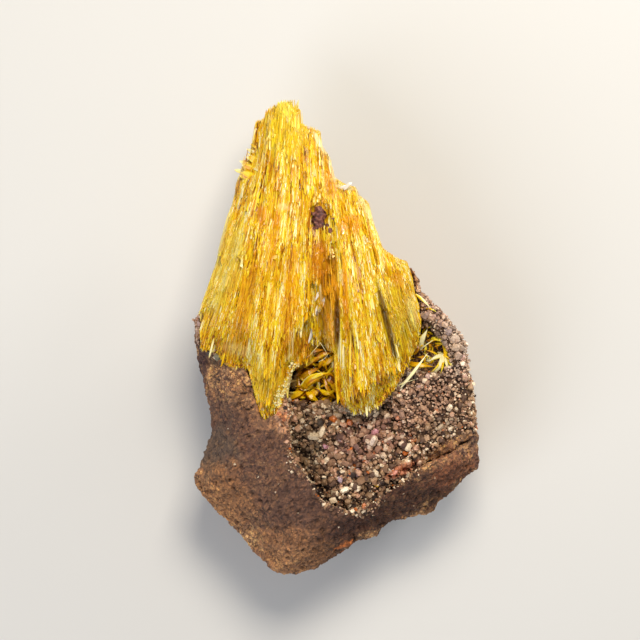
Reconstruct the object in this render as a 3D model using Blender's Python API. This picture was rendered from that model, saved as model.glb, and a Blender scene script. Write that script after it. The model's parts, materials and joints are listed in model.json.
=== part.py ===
# Legrandite spray on a broken piece of limonite matrix, lying on its back.
# X runs across the specimen, Y from its foot to the tip of the spray, Z up from the surface it lies on.
# Lengths here are in millimetres, and add_solid turns each finished shape into metres.

import math
import random

import bmesh
import bpy
from mathutils import Matrix, Vector, noise
from mathutils.geometry import delaunay_2d_cdt

METRES = 0.001
GAP = 0.35  # clearance between neighbouring solids
SKY = 40.0  # cutters reach up to here, above everything

# Driving heights above the resting surface
BED_HEIGHT = 10.5  # floor of the recess that holds the spray
DRUSE_FLOOR = 12.6  # floor of the hollow that the druse lines
DRUSE_TOP = 14.5  # general level of the druse, before its grains
TIP_HEIGHT = 16.2  # front of the spray near its tip
SPINE_HEIGHT = 21.0  # front of the spray across its middle
FOOT_HEIGHT = 20.2  # front of the spray at its foot

# The rock's outline seen from the display side, clockwise from behind the spray's right flank
MATRIX_OUTLINE = (
    (4.4, 12.2), (5.6, 10.0), (8.3, 9.1), (9.4, 8.8), (10.2, 7.3), (10.5, 6.2), (11.9, 4.4), (13.5, 2.9),
    (14.8, 1.3), (15.8, 0.0), (16.4, -1.5), (16.6, -3.8), (17.2, -6.8), (17.6, -9.7), (17.7, -12.8),
    (18.1, -15.6), (17.8, -16.6), (15.9, -18.1), (12.2, -21.7), (10.5, -22.2), (7.0, -23.1), (5.1, -24.6),
    (2.1, -25.9), (-1.7, -28.7), (-3.4, -29.5), (-5.4, -29.9), (-7.0, -29.6), (-8.7, -28.6), (-10.8, -26.6),
    (-13.2, -23.9), (-15.8, -21.3), (-18.1, -18.5), (-18.0, -17.3), (-16.8, -15.1), (-15.7, -11.7),
    (-15.9, -9.5), (-16.6, -6.6), (-17.1, -4.2), (-17.6, -1.7), (-17.9, 0.1), (-17.8, 2.4), (-16.6, 3.7),
    (-14.4, 7.8), (-9.4, 12.2), (-1.9, 13.7),
)

# Broken faces of the rock: a point on each (x, y, height) and its slope along X and along Y
MATRIX_FACETS = (
    (-10.0, -15.0, 17.2, 0.06, 0.02),  # broad face, lower left
    (8.0, -19.0, 16.4, -0.07, 0.03),  # rim below the druse
    (0.1, -24.3, 16.0, -0.75, 1.30),  # underside, lower right
    (-18.1, -18.5, 13.4, 0.67, 0.74),  # bevel along the lower left edge
    (-17.4, -4.0, 14.2, 1.10, 0.10),  # left flank
    (16.5, -8.0, 15.6, -0.80, -0.05),  # right flank
    (-6.0, 12.0, 13.0, 0.10, -0.90),  # upper end, behind the spray
)
SHOULDER_HEIGHT = 11.8  # height of the rock's front edge, before its faces rise from it
SHOULDER_SLOPE = 1.7

# Pits in the rock's face: x, y, radius and depth
MATRIX_PITS = (
    (-13.6, -20.2, 1.5, 1.1), (-8.3, -28.0, 1.6, 1.2), (-4.2, -28.2, 1.0, 0.7), (-14.8, -2.8, 1.2, 0.8),
    (-11.3, -8.0, 0.9, 0.5), (3.6, -24.2, 1.3, 0.9), (-2.6, -24.0, 0.9, 0.5), (9.6, -19.4, 1.0, 0.6),
    (-12.4, -5.6, 1.0, 0.6), (-16.2, -13.0, 0.9, 0.5), (13.8, -16.2, 1.1, 0.6), (-7.2, -21.0, 0.8, 0.4),
)

# Flat breaks around the rock's sides, each leaning in below this height
SIDE_BREAKS = 13
BREAK_HEIGHT = 11.0
BREAK_LEAN = (9.0, 27.0)  # degrees, least and most

# How a side narrows on its way down: share of the front edge's height, then the size against the outline's
MATRIX_SIDE_ROWS = ((0.8, 1.0), (0.5, 0.975), (0.2, 0.9), (0.0, 0.82))
SPRAY_SIDE_ROWS = ((0.45, 1.0), (0.0, 0.985))
DRUSE_SIDE_ROWS = ((0.0, 1.0),)

# The spray's outline, clockwise from its tip; its lower edge stands in the rock's recess
SPRAY_OUTLINE = (
    (-6.9, 29.8), (-5.5, 29.9), (-5.3, 28.9), (-4.5, 28.4), (-4.5, 26.8), (-2.9, 26.2), (-2.1, 25.7),
    (-1.8, 23.8), (-0.9, 22.2), (-0.2, 19.8), (1.1, 19.0), (2.3, 18.7), (2.7, 17.7), (4.0, 16.6),
    (4.6, 14.2), (5.8, 10.9), (7.6, 9.7), (8.8, 9.3), (9.4, 7.6), (9.7, 5.7), (10.3, 3.8), (10.1, 1.3),
    (9.8, -0.3), (8.8, -2.3), (7.9, -4.1), (6.8, -6.1), (5.4, -7.7), (3.8, -8.9), (2.2, -8.9), (0.9, -7.8),
    (0.2, -5.9), (0.1, -1.6), (-1.7, -0.8), (-3.8, -2.4), (-6.0, -3.7), (-6.5, -6.1), (-7.6, -8.9),
    (-8.9, -9.7), (-9.6, -8.1), (-10.1, -6.0), (-10.8, -3.4), (-13.3, -3.2), (-14.9, -1.6), (-16.8, -1.1),
    (-16.9, 0.9), (-16.6, 2.8), (-17.1, 3.6), (-16.1, 6.5), (-15.0, 9.6), (-14.8, 11.0), (-13.8, 14.9),
    (-12.8, 17.1), (-12.7, 19.2), (-11.6, 20.9), (-11.0, 22.7), (-10.6, 24.9), (-10.3, 27.1), (-9.2, 27.5),
    (-9.0, 28.3), (-8.3, 28.9),
)

# Troughs in the spray's front, from an upper to a lower point, with half widths and depth at each
SPRAY_TROUGHS = (
    {"top": (-0.2, 13.2), "foot": (-2.2, -1.4), "half": (0.8, 2.6), "depth": 5.2},  # central hollow
    {"top": (3.1, 10.5), "foot": (3.4, -8.0), "half": (2.0, 3.2), "depth": -1.1},  # proud right column
    {"top": (-11.5, 14.0), "foot": (-14.9, 0.0), "half": (1.2, 1.9), "depth": 1.0},  # left flank
    {"top": (-9.0, 18.0), "foot": (-9.6, -8.0), "half": (1.2, 2.6), "depth": -0.7},  # proud left bundle
)
SEAM = ((4.3, 11.8), (7.4, -3.8))  # the open seam beside the right flank, from top to foot
SEAM_WIDTH, SEAM_DEPTH = 0.9, 2.0
FLANK_DROP, FLANK_REACH = 4.6, 4.5  # how far the flanks fall away, over what distance from the edge
FOOT_DROP, FOOT_REACH = 2.8, 2.2  # the same at the blunt foot
FAN_CENTRE = (-2.75, 47.0)  # the crystals diverge from here
FAN_TOP, FAN_FULL = 28.5, 13.5  # above FAN_TOP they run straight, below FAN_FULL they spread fully
BACK_FREE_ABOVE = 18.0  # past here nothing lies behind the spray, and crystals show on its back too

DRUSE_OUTLINE = (
    (-5.8, -8.0), (-3.4, -8.3), (-0.4, -8.6), (0.6, -9.4), (2.2, -9.9), (4.2, -9.9), (6.1, -8.3), (7.9, -6.0),
    (9.2, -3.8), (10.2, -0.8), (10.9, 2.4), (10.6, 5.0), (11.5, 4.1), (13.2, 2.5), (14.5, 0.9), (15.4, -0.4),
    (15.9, -2.0), (16.1, -4.0), (16.7, -7.0), (17.0, -9.8), (17.0, -12.2), (14.6, -14.2), (11.0, -15.6),
    (7.4, -18.1), (4.6, -20.2), (1.2, -21.4), (-2.0, -20.0), (-3.6, -17.0), (-5.4, -14.6), (-5.4, -11.2),
)
# The two hollows beside the spray, and the blades that grow in them: start, bend and end (x, y, height),
# then width and thickness
CAVERN = {
    "outline": (
        (-5.7, -3.9), (-3.8, -2.8), (-1.7, -1.2), (-0.3, -1.9), (-0.3, -6.0), (0.4, -8.2), (-0.9, -8.6),
        (-3.4, -8.4), (-5.6, -8.1), (-6.2, -6.3),
    ),
    "floor": 9.2,
    "root": (-3.2, -6.0),
    "reach": (2.1, 1.7),
    "blades": (
        ((-4.4, -7.0, 10.0), (-3.2, -4.8, 13.0), (-0.9, -4.3, 14.2), 1.0, 0.5),
        ((-4.9, -6.4, 10.0), (-4.6, -6.0, 12.4), (-3.1, -6.2, 13.6), 0.9, 0.5),
        ((-2.4, -7.2, 10.0), (-1.5, -6.6, 12.6), (-0.6, -4.4, 13.2), 0.9, 0.5),
        ((-4.8, -5.9, 9.9), (-3.6, -3.9, 11.8), (-1.6, -3.0, 12.4), 0.8, 0.4),
        ((-4.2, -5.2, 9.9), (-3.0, -3.4, 11.2), (-1.2, -2.3, 11.8), 0.8, 0.4),
        ((-3.0, -7.0, 10.0), (-4.4, -7.4, 12.6), (-5.6, -7.6, 13.4), 0.8, 0.4),
        ((-1.9, -6.6, 10.0), (-2.4, -6.8, 12.0), (-3.6, -7.4, 13.6), 0.8, 0.5),
    ),
}
POCKET = {
    "outline": (
        (9.9, -0.4), (10.5, 1.2), (11.4, 1.4), (12.4, 0.6), (13.4, -0.5), (14.2, -1.9), (14.3, -3.4),
        (13.4, -4.4), (11.6, -4.5), (9.6, -4.4), (8.9, -3.2),
    ),
    "floor": 11.2,
    "root": (13.1, -2.1),
    "reach": (1.1, 1.2),
    "blades": (
        ((13.4, -1.7, 11.8), (12.9, -2.4, 13.8), (11.9, -2.9, 15.0), 0.9, 0.5),
        ((13.3, -1.9, 11.8), (12.9, -2.9, 13.6), (12.3, -4.2, 14.6), 0.9, 0.5),
        ((13.4, -2.1, 11.8), (13.6, -3.0, 13.6), (13.8, -4.2, 14.4), 0.7, 0.4),
        ((13.5, -1.8, 11.8), (14.0, -2.4, 13.2), (14.6, -3.4, 14.4), 0.7, 0.4),
        ((13.2, -1.6, 11.8), (12.8, -0.6, 13.0), (11.8, -0.4, 14.0), 0.8, 0.5),
        ((12.6, -2.5, 11.9), (11.0, -3.7, 12.8), (9.4, -3.4, 13.2), 0.9, 0.5),
        ((12.8, -2.2, 11.9), (11.2, -1.5, 13.0), (10.4, -0.2, 13.8), 0.8, 0.4),
    ),
}

# A crumb of the rock caught among the crystals, in a socket that leaves it free all round
SPECK_CENTRE = (-2.2, 15.3)
SPECK_SIZE = (0.8, 1.25, 1.0)  # half lengths
SPECK_SINK = 0.9
SOCKET_ROOM = 0.5

# Short crystals that stand out of the spray's upper left edge: root (x, y), end (x, y) and width
EDGE_SPIKES = (
    ((-11.2, 20.9), (-12.6, 21.0), 0.5), ((-10.9, 21.6), (-12.0, 22.1), 0.6),
    ((-10.4, 22.2), (-11.3, 22.7), 0.6), ((-10.3, 23.6), (-11.2, 23.9), 0.4),
    ((-10.2, 24.0), (-10.9, 24.4), 0.4), ((-11.8, 19.6), (-12.4, 20.3), 0.6),
)

# Repeats: how far apart the shapes stand, how far each strays, and how big they are (least, most)
CRYSTAL_ACROSS, CRYSTAL_DOWN = 1.9, 3.8
CRYSTAL_LENGTH, CRYSTAL_WIDTH = (4.0, 7.5), (0.9, 1.6)
GRAIN_STEP, GRAIN_STRAY, GRAIN_RADIUS = 1.8, 0.4, (0.7, 1.15)
CRYSTAL_LIFT = 0.8  # the most that a straight crystal stands off the curved spray
MATRIX_MESH, SPRAY_MESH, DRUSE_MESH = 1.4, 1.6, 1.7  # size of the facets


def smooth(low, high, value):
    """0 below low, 1 above high, eased between them."""
    share = min(max((value - low) / (high - low), 0.0), 1.0)
    return share * share * (3.0 - 2.0 * share)


def mix(first, second, share):
    return first + (second - first) * share


def edge_distance(outline, x, y):
    """Distance from a point to the outline, positive inside it."""
    inside = False
    nearest = 1e9
    for (ax, ay), (bx, by) in zip(outline, outline[1:] + outline[:1]):
        if (ay > y) != (by > y) and x < ax + (y - ay) * (bx - ax) / (by - ay):
            inside = not inside
        run = max((bx - ax) ** 2 + (by - ay) ** 2, 1e-12)
        share = min(max(((x - ax) * (bx - ax) + (y - ay) * (by - ay)) / run, 0.0), 1.0)
        nearest = min(nearest, math.hypot(ax + share * (bx - ax) - x, ay + share * (by - ay) - y))
    return nearest if inside else -nearest


def divided(outline, step):
    """The outline with points no further apart than step."""
    points = []
    for (ax, ay), (bx, by) in zip(outline, outline[1:] + outline[:1]):
        pieces = max(1, math.ceil(math.hypot(bx - ax, by - ay) / step))
        points += [(mix(ax, bx, i / pieces), mix(ay, by, i / pieces)) for i in range(pieces)]
    return points


def inset(outline, amount):
    """A clockwise outline moved inwards, or outwards where amount is negative."""
    moved = []
    for before, here, after in zip(outline[-1:] + outline[:-1], outline, outline[1:] + outline[:1]):
        first = Vector((here[0] - before[0], here[1] - before[1])).normalized()
        second = Vector((after[0] - here[0], after[1] - here[1])).normalized()
        inward = Vector((first.y + second.y, -first.x - second.x)).normalized()
        lean = max(0.5, inward.dot(Vector((second.y, -second.x))))
        moved.append((here[0] + inward.x * amount / lean, here[1] + inward.y * amount / lean))
    return tuple(moved)


def fill(outline, spacing, seed):
    """Triangles over an outline: points (the outline's own first) and faces."""
    rng = random.Random(seed)
    across = [p[0] for p in outline]
    along = [p[1] for p in outline]
    points = [Vector(p) for p in outline]
    y = min(along)
    odd = False
    while y < max(along):
        x = min(across) + (spacing / 2 if odd else 0.0)
        while x < max(across):
            px = x + rng.uniform(-0.28, 0.28) * spacing
            py = y + rng.uniform(-0.28, 0.28) * spacing
            if edge_distance(outline, px, py) > 0.45 * spacing:
                points.append(Vector((px, py)))
            x += spacing
        y += spacing * 0.87
        odd = not odd
    count = len(outline)
    edges = [(i, (i + 1) % count) for i in range(count)]
    found = delaunay_2d_cdt(points, edges, [], 1, 1e-5)
    return found[0], found[2]


def slab(outline, spacing, top, rows, seed=1, floor=None):
    """A closed solid under top(x, y). rows run down its side: share of the edge's height, and size."""
    outline = tuple(divided(outline, spacing))
    count = len(outline)
    middle_x = sum(p[0] for p in outline) / count
    middle_y = sum(p[1] for p in outline) / count
    bm = bmesh.new()
    flat_top, top_faces = fill(outline, spacing, seed)
    upper = [bm.verts.new((p.x, p.y, top(p.x, p.y))) for p in flat_top]
    for face in top_faces:
        bm.faces.new([upper[i] for i in face])
    floor = floor or (lambda x, y: 0.0)
    ring = upper[:count]
    edge_heights = [v.co.z for v in ring]
    for share, size in rows:
        around = [(mix(middle_x, x, size), mix(middle_y, y, size)) for x, y in outline]
        lower = []
        for (x, y), edge in zip(around, edge_heights):
            low = floor(x, y)
            lower.append((x, y, mix(low, edge, share)))
        if share == 0.0:
            flat, faces = fill(tuple((x, y) for x, y, z in lower), spacing * 2.2, seed + 1)
            made = [bm.verts.new((p.x, p.y, floor(p.x, p.y))) for p in flat]
            for face in faces:
                bm.faces.new([made[i] for i in reversed(face)])
        else:
            made = [bm.verts.new(p) for p in lower]
        for i in range(count):
            j = (i + 1) % count
            bm.faces.new((ring[i], made[i], made[j], ring[j]))
        ring = made[:count]
    bmesh.ops.recalc_face_normals(bm, faces=bm.faces)
    return bm


def prism(outline, low, high):
    """A plain upright cutter over an outline."""
    bm = bmesh.new()
    base = bm.faces.new([bm.verts.new((x, y, low)) for x, y in outline])
    raised = bmesh.ops.extrude_face_region(bm, geom=[base])["geom"]
    upper = [v for v in raised if isinstance(v, bmesh.types.BMVert)]
    bmesh.ops.translate(bm, vec=(0, 0, high - low), verts=upper)
    bmesh.ops.recalc_face_normals(bm, faces=bm.faces)
    return bm


def crystal(bm, start, end, outward, width, depth, tip=0.9):
    """One prism of diamond section with pointed ends, its ridge facing outward."""
    axis = (end - start).normalized()
    side = axis.cross(outward).normalized()
    ridge = side.cross(axis)
    section = ((side, width / 2), (ridge, depth / 2), (-side, width / 2), (-ridge, depth / 2))
    rings = []
    for point in (start + axis * width * tip, end - axis * width * tip):
        rings.append([bm.verts.new(point + way * size) for way, size in section])
    foot, head = bm.verts.new(start), bm.verts.new(end)
    for i in range(4):
        j = (i + 1) % 4
        bm.faces.new((rings[0][i], rings[0][j], rings[1][j], rings[1][i]))
        bm.faces.new((foot, rings[0][j], rings[0][i]))
        bm.faces.new((head, rings[1][i], rings[1][j]))


def bent_blade(bm, start, bend, end, width, depth, steps=4):
    """A flat crystal that follows a bend, pointed at its end."""
    start, bend, end = Vector(start), Vector(bend), Vector(end)
    rings = []
    for i in range(steps + 1):
        t = i / steps
        point = start.lerp(bend, t).lerp(bend.lerp(end, t), t)
        axis = (bend - start).lerp(end - bend, t).normalized()
        side = axis.cross(Vector((0, 0, 1))).normalized()
        ridge = side.cross(axis)
        size = 0.18 if i == steps else 1.0 - 0.35 * t
        around = ((side, width), (ridge, depth), (-side, width), (-ridge, depth))
        rings.append([bm.verts.new(point + way * reach * size / 2) for way, reach in around])
    for low, high in zip(rings, rings[1:]):
        for i in range(4):
            j = (i + 1) % 4
            bm.faces.new((low[i], low[j], high[j], high[i]))
    bm.faces.new(list(reversed(rings[0])))
    bm.faces.new(rings[-1])


def pebble(bm, centre, radius, rng, points=11, stretch=None):
    """One angular grain: the hull of a few points scattered on a squashed ball."""
    stretch = stretch or Vector((rng.uniform(0.8, 1.2), rng.uniform(0.8, 1.2), rng.uniform(0.75, 1.1)))
    made = []
    for i in range(points):
        height = 1 - 2 * (i + 0.5) / points
        turn = i * 2.4 + rng.uniform(-0.3, 0.3)
        level = math.sqrt(1 - height * height)
        way = Vector((level * math.cos(turn), level * math.sin(turn), height))
        made.append(bm.verts.new(Vector(centre) + way * stretch * radius * rng.uniform(0.88, 1.0)))
    hull = bmesh.ops.convex_hull(bm, input=made)
    bmesh.ops.delete(bm, geom=[v for v in hull["geom_interior"] if v in made], context="VERTS")


def trough_depth(trough, x, y):
    (top_x, top_y), (foot_x, foot_y) = trough["top"], trough["foot"]
    share = min(max((top_y - y) / (top_y - foot_y), 0.0), 1.0)
    centre = mix(top_x, foot_x, share)
    across = (x - centre) / mix(trough["half"][0], trough["half"][1], share)
    if abs(across) >= 1:
        return 0.0
    return trough["depth"] * smooth(0.0, 0.55, share) * (1 - across * across) ** 2


def matrix_front(x, y):
    """Height of the rock's display side, before the hollows are cut."""
    edge = edge_distance(MATRIX_OUTLINE, x, y)
    height = SHOULDER_HEIGHT + SHOULDER_SLOPE * max(edge, 0.0)
    for px, py, pz, slope_x, slope_y in MATRIX_FACETS:
        height = min(height, pz + slope_x * (x - px) + slope_y * (y - py))
    for px, py, radius, depth in MATRIX_PITS:
        height -= depth * (1 - smooth(0.0, radius, math.hypot(x - px, y - py)))
    lumps = noise.noise(Vector((x, y, 3.0)) * 0.22) * 0.9 + noise.noise(Vector((x, y, 9.0)) * 0.6) * 0.4
    return height + lumps * smooth(-0.2, 1.5, edge)


def break_sides(bm):
    """Trims the rock's sides to flat breaks that leave its front outline whole."""
    rng = random.Random(17)
    for i in range(SIDE_BREAKS):
        turn = math.tau * (i + rng.uniform(-0.3, 0.3)) / SIDE_BREAKS
        lean = math.radians(rng.uniform(*BREAK_LEAN))
        outward = Vector((math.cos(turn), math.sin(turn)))
        reach = max(outward.dot(Vector(point)) for point in MATRIX_OUTLINE)
        point = Vector((*(outward * reach), BREAK_HEIGHT))
        normal = Vector((*(outward * math.cos(lean)), -math.sin(lean)))
        whole = bm.verts[:] + bm.edges[:] + bm.faces[:]
        bmesh.ops.bisect_plane(bm, geom=whole, plane_co=point, plane_no=normal, clear_outer=True)
        bmesh.ops.holes_fill(bm, edges=[edge for edge in bm.edges if edge.is_boundary])
    return bm


def spray_front(x, y):
    """Height of the spray's front, without its crystals."""
    spine = mix(mix(FOOT_HEIGHT, SPINE_HEIGHT, smooth(-9.0, 4.0, y)), TIP_HEIGHT, smooth(11.0, 29.0, y))
    edge = max(edge_distance(SPRAY_OUTLINE, x, y), 0.0)
    blunt = smooth(0.0, 4.0, -y)
    reach = mix(FLANK_REACH, FOOT_REACH, blunt)
    falloff = mix(FLANK_DROP, FOOT_DROP, blunt) * (1 - min(edge / reach, 1.0)) ** 2
    grooves = sum(trough_depth(trough, x, y) for trough in SPRAY_TROUGHS)
    return spine - falloff - grooves - 0.9 * smooth(8.0, 10.0, x)


def spray_back(x, y):
    edge = max(edge_distance(SPRAY_OUTLINE, x, y), 0.0)
    free = smooth(14.0, 17.0, y)
    return BED_HEIGHT + GAP + free * 0.5 * (1 - min(edge / 1.5, 1.0))


def grain_slope(x, y):
    """How far the crystals lean along X for each millimetre down the spray."""
    spread = 0.2 + 0.8 * smooth(FAN_TOP, FAN_FULL, y)
    return spread * (x - FAN_CENTRE[0]) / (FAN_CENTRE[1] - y)


def along_grain(x, y, distance):
    """The point reached by following the crystals down the spray."""
    steps = 6
    for _ in range(steps):
        slope = grain_slope(x, y)
        length = distance / steps / math.hypot(1.0, slope)
        x, y = x + slope * length, y - length
    return x, y


def surface_crystal(bm, x, y, length, width, rng, surface, outward):
    """A crystal laid along the grain, half sunk in the spray's surface."""
    ax, ay = along_grain(x, y, -length / 2)
    bx, by = along_grain(x, y, length / 2)
    margin = 0.25 + width / 2 if min(ay, by) < 5.0 else -0.25
    if edge_distance(SPRAY_OUTLINE, ax, ay) < margin or edge_distance(SPRAY_OUTLINE, bx, by) < margin:
        return
    low, high = surface(ax, ay), surface(bx, by)
    bulge = (surface(x, y) - (low + high) / 2) * outward
    lift = (min(max(bulge, 0.0), CRYSTAL_LIFT) - width * rng.uniform(0.02, 0.22)) * outward
    start = Vector((ax, ay, low + lift))
    end = Vector((bx, by, high + lift))
    lean = Vector((rng.uniform(-0.5, 0.5), 0.0, outward))
    crystal(bm, start, end, lean, width, width * rng.uniform(0.8, 1.2))


def spray_crystals():
    """All the crystals that stand on the spray's core, as one mesh of closed prisms."""
    rng = random.Random(11)
    bm = bmesh.new()
    left, top = -17.2, 28.4
    for row in range(11):
        for column in range(16):
            x = left + CRYSTAL_ACROSS * (column + 0.5 * (row % 2)) + rng.uniform(-0.4, 0.4)
            y = top - CRYSTAL_DOWN * row + rng.uniform(-0.9, 0.9)
            if edge_distance(SPRAY_OUTLINE, x, y) < 0.5:
                continue
            length, width = rng.uniform(*CRYSTAL_LENGTH), rng.uniform(*CRYSTAL_WIDTH)
            surface_crystal(bm, x, y, length, width, rng, spray_front, 1.0)
            if y > BACK_FREE_ABOVE:
                surface_crystal(bm, x, y, length * 0.7, width, rng, spray_back, -1.0)
    for (ax, ay), (bx, by), width in EDGE_SPIKES:
        height = rng.uniform(12.6, 14.4)
        root = Vector((ax + 0.9, ay - 0.3, height - 0.3))
        crystal(bm, root, Vector((bx, by, height + 0.4)), Vector((0, 0, 1)), width, width)
    return bm


def druse_top(x, y):
    edge = edge_distance(DRUSE_OUTLINE, x, y)
    swell = 0.8 * noise.noise(Vector((x, y, 5.0)) * 0.35)
    return DRUSE_TOP + swell + 0.3 * smooth(-14.0, -7.0, y) - 0.5 * (1 - smooth(0.0, 0.8, edge))


def druse_grains():
    """The druse's larger grains, one beside the next."""
    rng = random.Random(23)
    bm = bmesh.new()
    left, top = -6.2, 4.2
    for row in range(16):
        for column in range(15):
            x = left + GRAIN_STEP * (column + 0.5 * (row % 2)) + rng.uniform(-GRAIN_STRAY, GRAIN_STRAY)
            y = top - GRAIN_STEP * 0.9 * row + rng.uniform(-GRAIN_STRAY, GRAIN_STRAY)
            radius = rng.uniform(*GRAIN_RADIUS)
            edge = edge_distance(DRUSE_OUTLINE, x, y)
            if edge > 0.3:
                radius = min(radius, 0.45 + edge * 0.5)
                centre = (x, y, druse_top(x, y) + rng.uniform(-0.15, 0.25))
                pebble(bm, centre, radius, rng, rng.randint(8, 10))
    return bm


def blades_of(cluster):
    """A cluster's blades, each one a closed shape that crosses its neighbours at the root."""
    bm = bmesh.new()
    for start, bend, end, width, depth in cluster["blades"]:
        bent_blade(bm, start, bend, end, width, depth)
    bmesh.ops.recalc_face_normals(bm, faces=bm.faces)
    return bm


def blade_root(cluster):
    """The low lump of crystal that a cluster's blades stand on."""
    x, y = cluster["root"]
    low = cluster["floor"] + GAP
    sides = 9
    turns = [i * math.tau / sides for i in range(sides)]
    rings = []
    for share, height in ((1.0, low), (0.9, low + 0.6), (0.4, low + 1.2)):
        reach_x, reach_y = (share * reach for reach in cluster["reach"])
        rings.append([(x + reach_x * math.cos(a), y + reach_y * math.sin(a), height) for a in turns])
    bm = bmesh.new()
    made = [[bm.verts.new(p) for p in ring] for ring in rings]
    bm.faces.new(made[0])
    bm.faces.new(made[-1])
    for lower, upper in zip(made, made[1:]):
        for i in range(sides):
            j = (i + 1) % sides
            bm.faces.new((lower[i], lower[j], upper[j], upper[i]))
    bmesh.ops.recalc_face_normals(bm, faces=bm.faces)
    return bm


def seam_cut():
    """A long wedge that opens the seam in the spray's right flank."""
    bm = bmesh.new()
    start, end = (Vector((x, y, spray_front(x, y) + 0.4)) for x, y in SEAM)
    crystal(bm, start, end, Vector((0, 0, 1)), SEAM_WIDTH, 2 * SEAM_DEPTH, 2.0)
    bmesh.ops.recalc_face_normals(bm, faces=bm.faces)
    return bm


def speck_lump():
    x, y = SPECK_CENTRE
    bm = bmesh.new()
    centre = (x, y, spray_front(x, y) - SPECK_SINK + GAP + SPECK_SIZE[2])
    pebble(bm, centre, 1.0, random.Random(5), 26, Vector(SPECK_SIZE))
    return bm


def speck_notch():
    """Cuts the socket in the spray that the speck sits in."""
    x, y = SPECK_CENTRE
    wide, long = (half + SOCKET_ROOM for half in SPECK_SIZE[:2])
    sides = 12
    turns = [-i * math.tau / sides for i in range(sides)]
    around = [(x + wide * math.cos(turn), y + long * math.sin(turn)) for turn in turns]
    return prism(around, spray_front(x, y) - SPECK_SINK, SKY)


def material(name, colour, roughness, metallic=0.0):
    made = bpy.data.materials.new(name)
    made.use_nodes = True
    shader = made.node_tree.nodes["Principled BSDF"]
    shader.inputs["Base Color"].default_value = (*colour, 1.0)
    shader.inputs["Roughness"].default_value = roughness
    shader.inputs["Metallic"].default_value = metallic
    return made


def add_solid(name, bm, finish=None):
    """The shape as an object in metres. Without a finish it is a cutter, or is joined into another."""
    bm.transform(Matrix.Scale(METRES, 4))
    mesh = bpy.data.meshes.new(name)
    bm.to_mesh(mesh)
    bm.free()
    obj = bpy.data.objects.new(name, mesh)
    bpy.context.scene.collection.objects.link(obj)
    if finish:
        mesh.materials.append(finish)
    else:
        obj.hide_render = True
        obj.display_type = "WIRE"
    return obj


def boolean(obj, other, operation, self_crossing=False):
    modifier = obj.modifiers.new(f"{operation.lower()} {other.name}", "BOOLEAN")
    modifier.operation = operation
    modifier.object = other
    modifier.use_self = self_crossing


def main():
    for obj in list(bpy.data.objects):
        bpy.data.objects.remove(obj)

    limonite = material("limonite", (0.14, 0.10, 0.07), 0.85)
    legrandite = material("legrandite", (0.86, 0.55, 0.03), 0.25)
    druse_finish = material("druse grains", (0.30, 0.22, 0.16), 0.55)
    crumb = material("limonite crumb", (0.12, 0.05, 0.04), 0.8)

    bed = add_solid("bed cutter", prism(inset(SPRAY_OUTLINE, -GAP), BED_HEIGHT, SKY))
    hollow = add_solid("hollow cutter", prism(inset(DRUSE_OUTLINE, -GAP), DRUSE_FLOOR, SKY + 1))
    cavern = add_solid("cavern cutter", prism(inset(CAVERN["outline"], -GAP), CAVERN["floor"], SKY + 2))
    pocket = add_solid("pocket cutter", prism(inset(POCKET["outline"], -GAP), POCKET["floor"], SKY + 3))

    block = break_sides(slab(MATRIX_OUTLINE, MATRIX_MESH, matrix_front, MATRIX_SIDE_ROWS, 3))
    matrix = add_solid("matrix", block, limonite)
    for cutter in (bed, hollow, cavern, pocket):
        boolean(matrix, cutter, "DIFFERENCE")

    core = slab(SPRAY_OUTLINE, SPRAY_MESH, spray_front, SPRAY_SIDE_ROWS, 7, spray_back)
    spray = add_solid("legrandite_spray", core, legrandite)
    boolean(spray, add_solid("spray crystals", spray_crystals()), "UNION", True)
    for cutter in (add_solid("seam cutter", seam_cut()), add_solid("socket cutter", speck_notch())):
        boolean(spray, cutter, "DIFFERENCE")
    add_solid("limonite_speck", speck_lump(), crumb)

    crust = slab(DRUSE_OUTLINE, DRUSE_MESH, druse_top, DRUSE_SIDE_ROWS, 5, lambda x, y: DRUSE_FLOOR + GAP)
    druse = add_solid("druse_crust", crust, druse_finish)
    boolean(druse, add_solid("grains", druse_grains()), "UNION", True)
    for cutter in (bed, cavern, pocket):
        boolean(druse, cutter, "DIFFERENCE")

    for name, cluster in (("cavern_blades", CAVERN), ("pocket_blades", POCKET)):
        blades = add_solid(name, blade_root(cluster), legrandite)
        boolean(blades, add_solid(f"{name} shapes", blades_of(cluster)), "UNION", True)
        space = prism(cluster["outline"], cluster["floor"] + GAP / 2, SKY)
        boolean(blades, add_solid(f"{name} space", space), "INTERSECT")


main()
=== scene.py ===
# Legrandite spray on limonite, lying on its back and seen from straight above.
# X runs across the specimen, Y from the rock's foot to the spray's tip. The dictionaries hold millimetres.
import json
import math
import random

import bmesh
import bpy
import numpy as np
from mathutils import Matrix, Vector, noise
from mathutils.bvhtree import BVHTree

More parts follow.
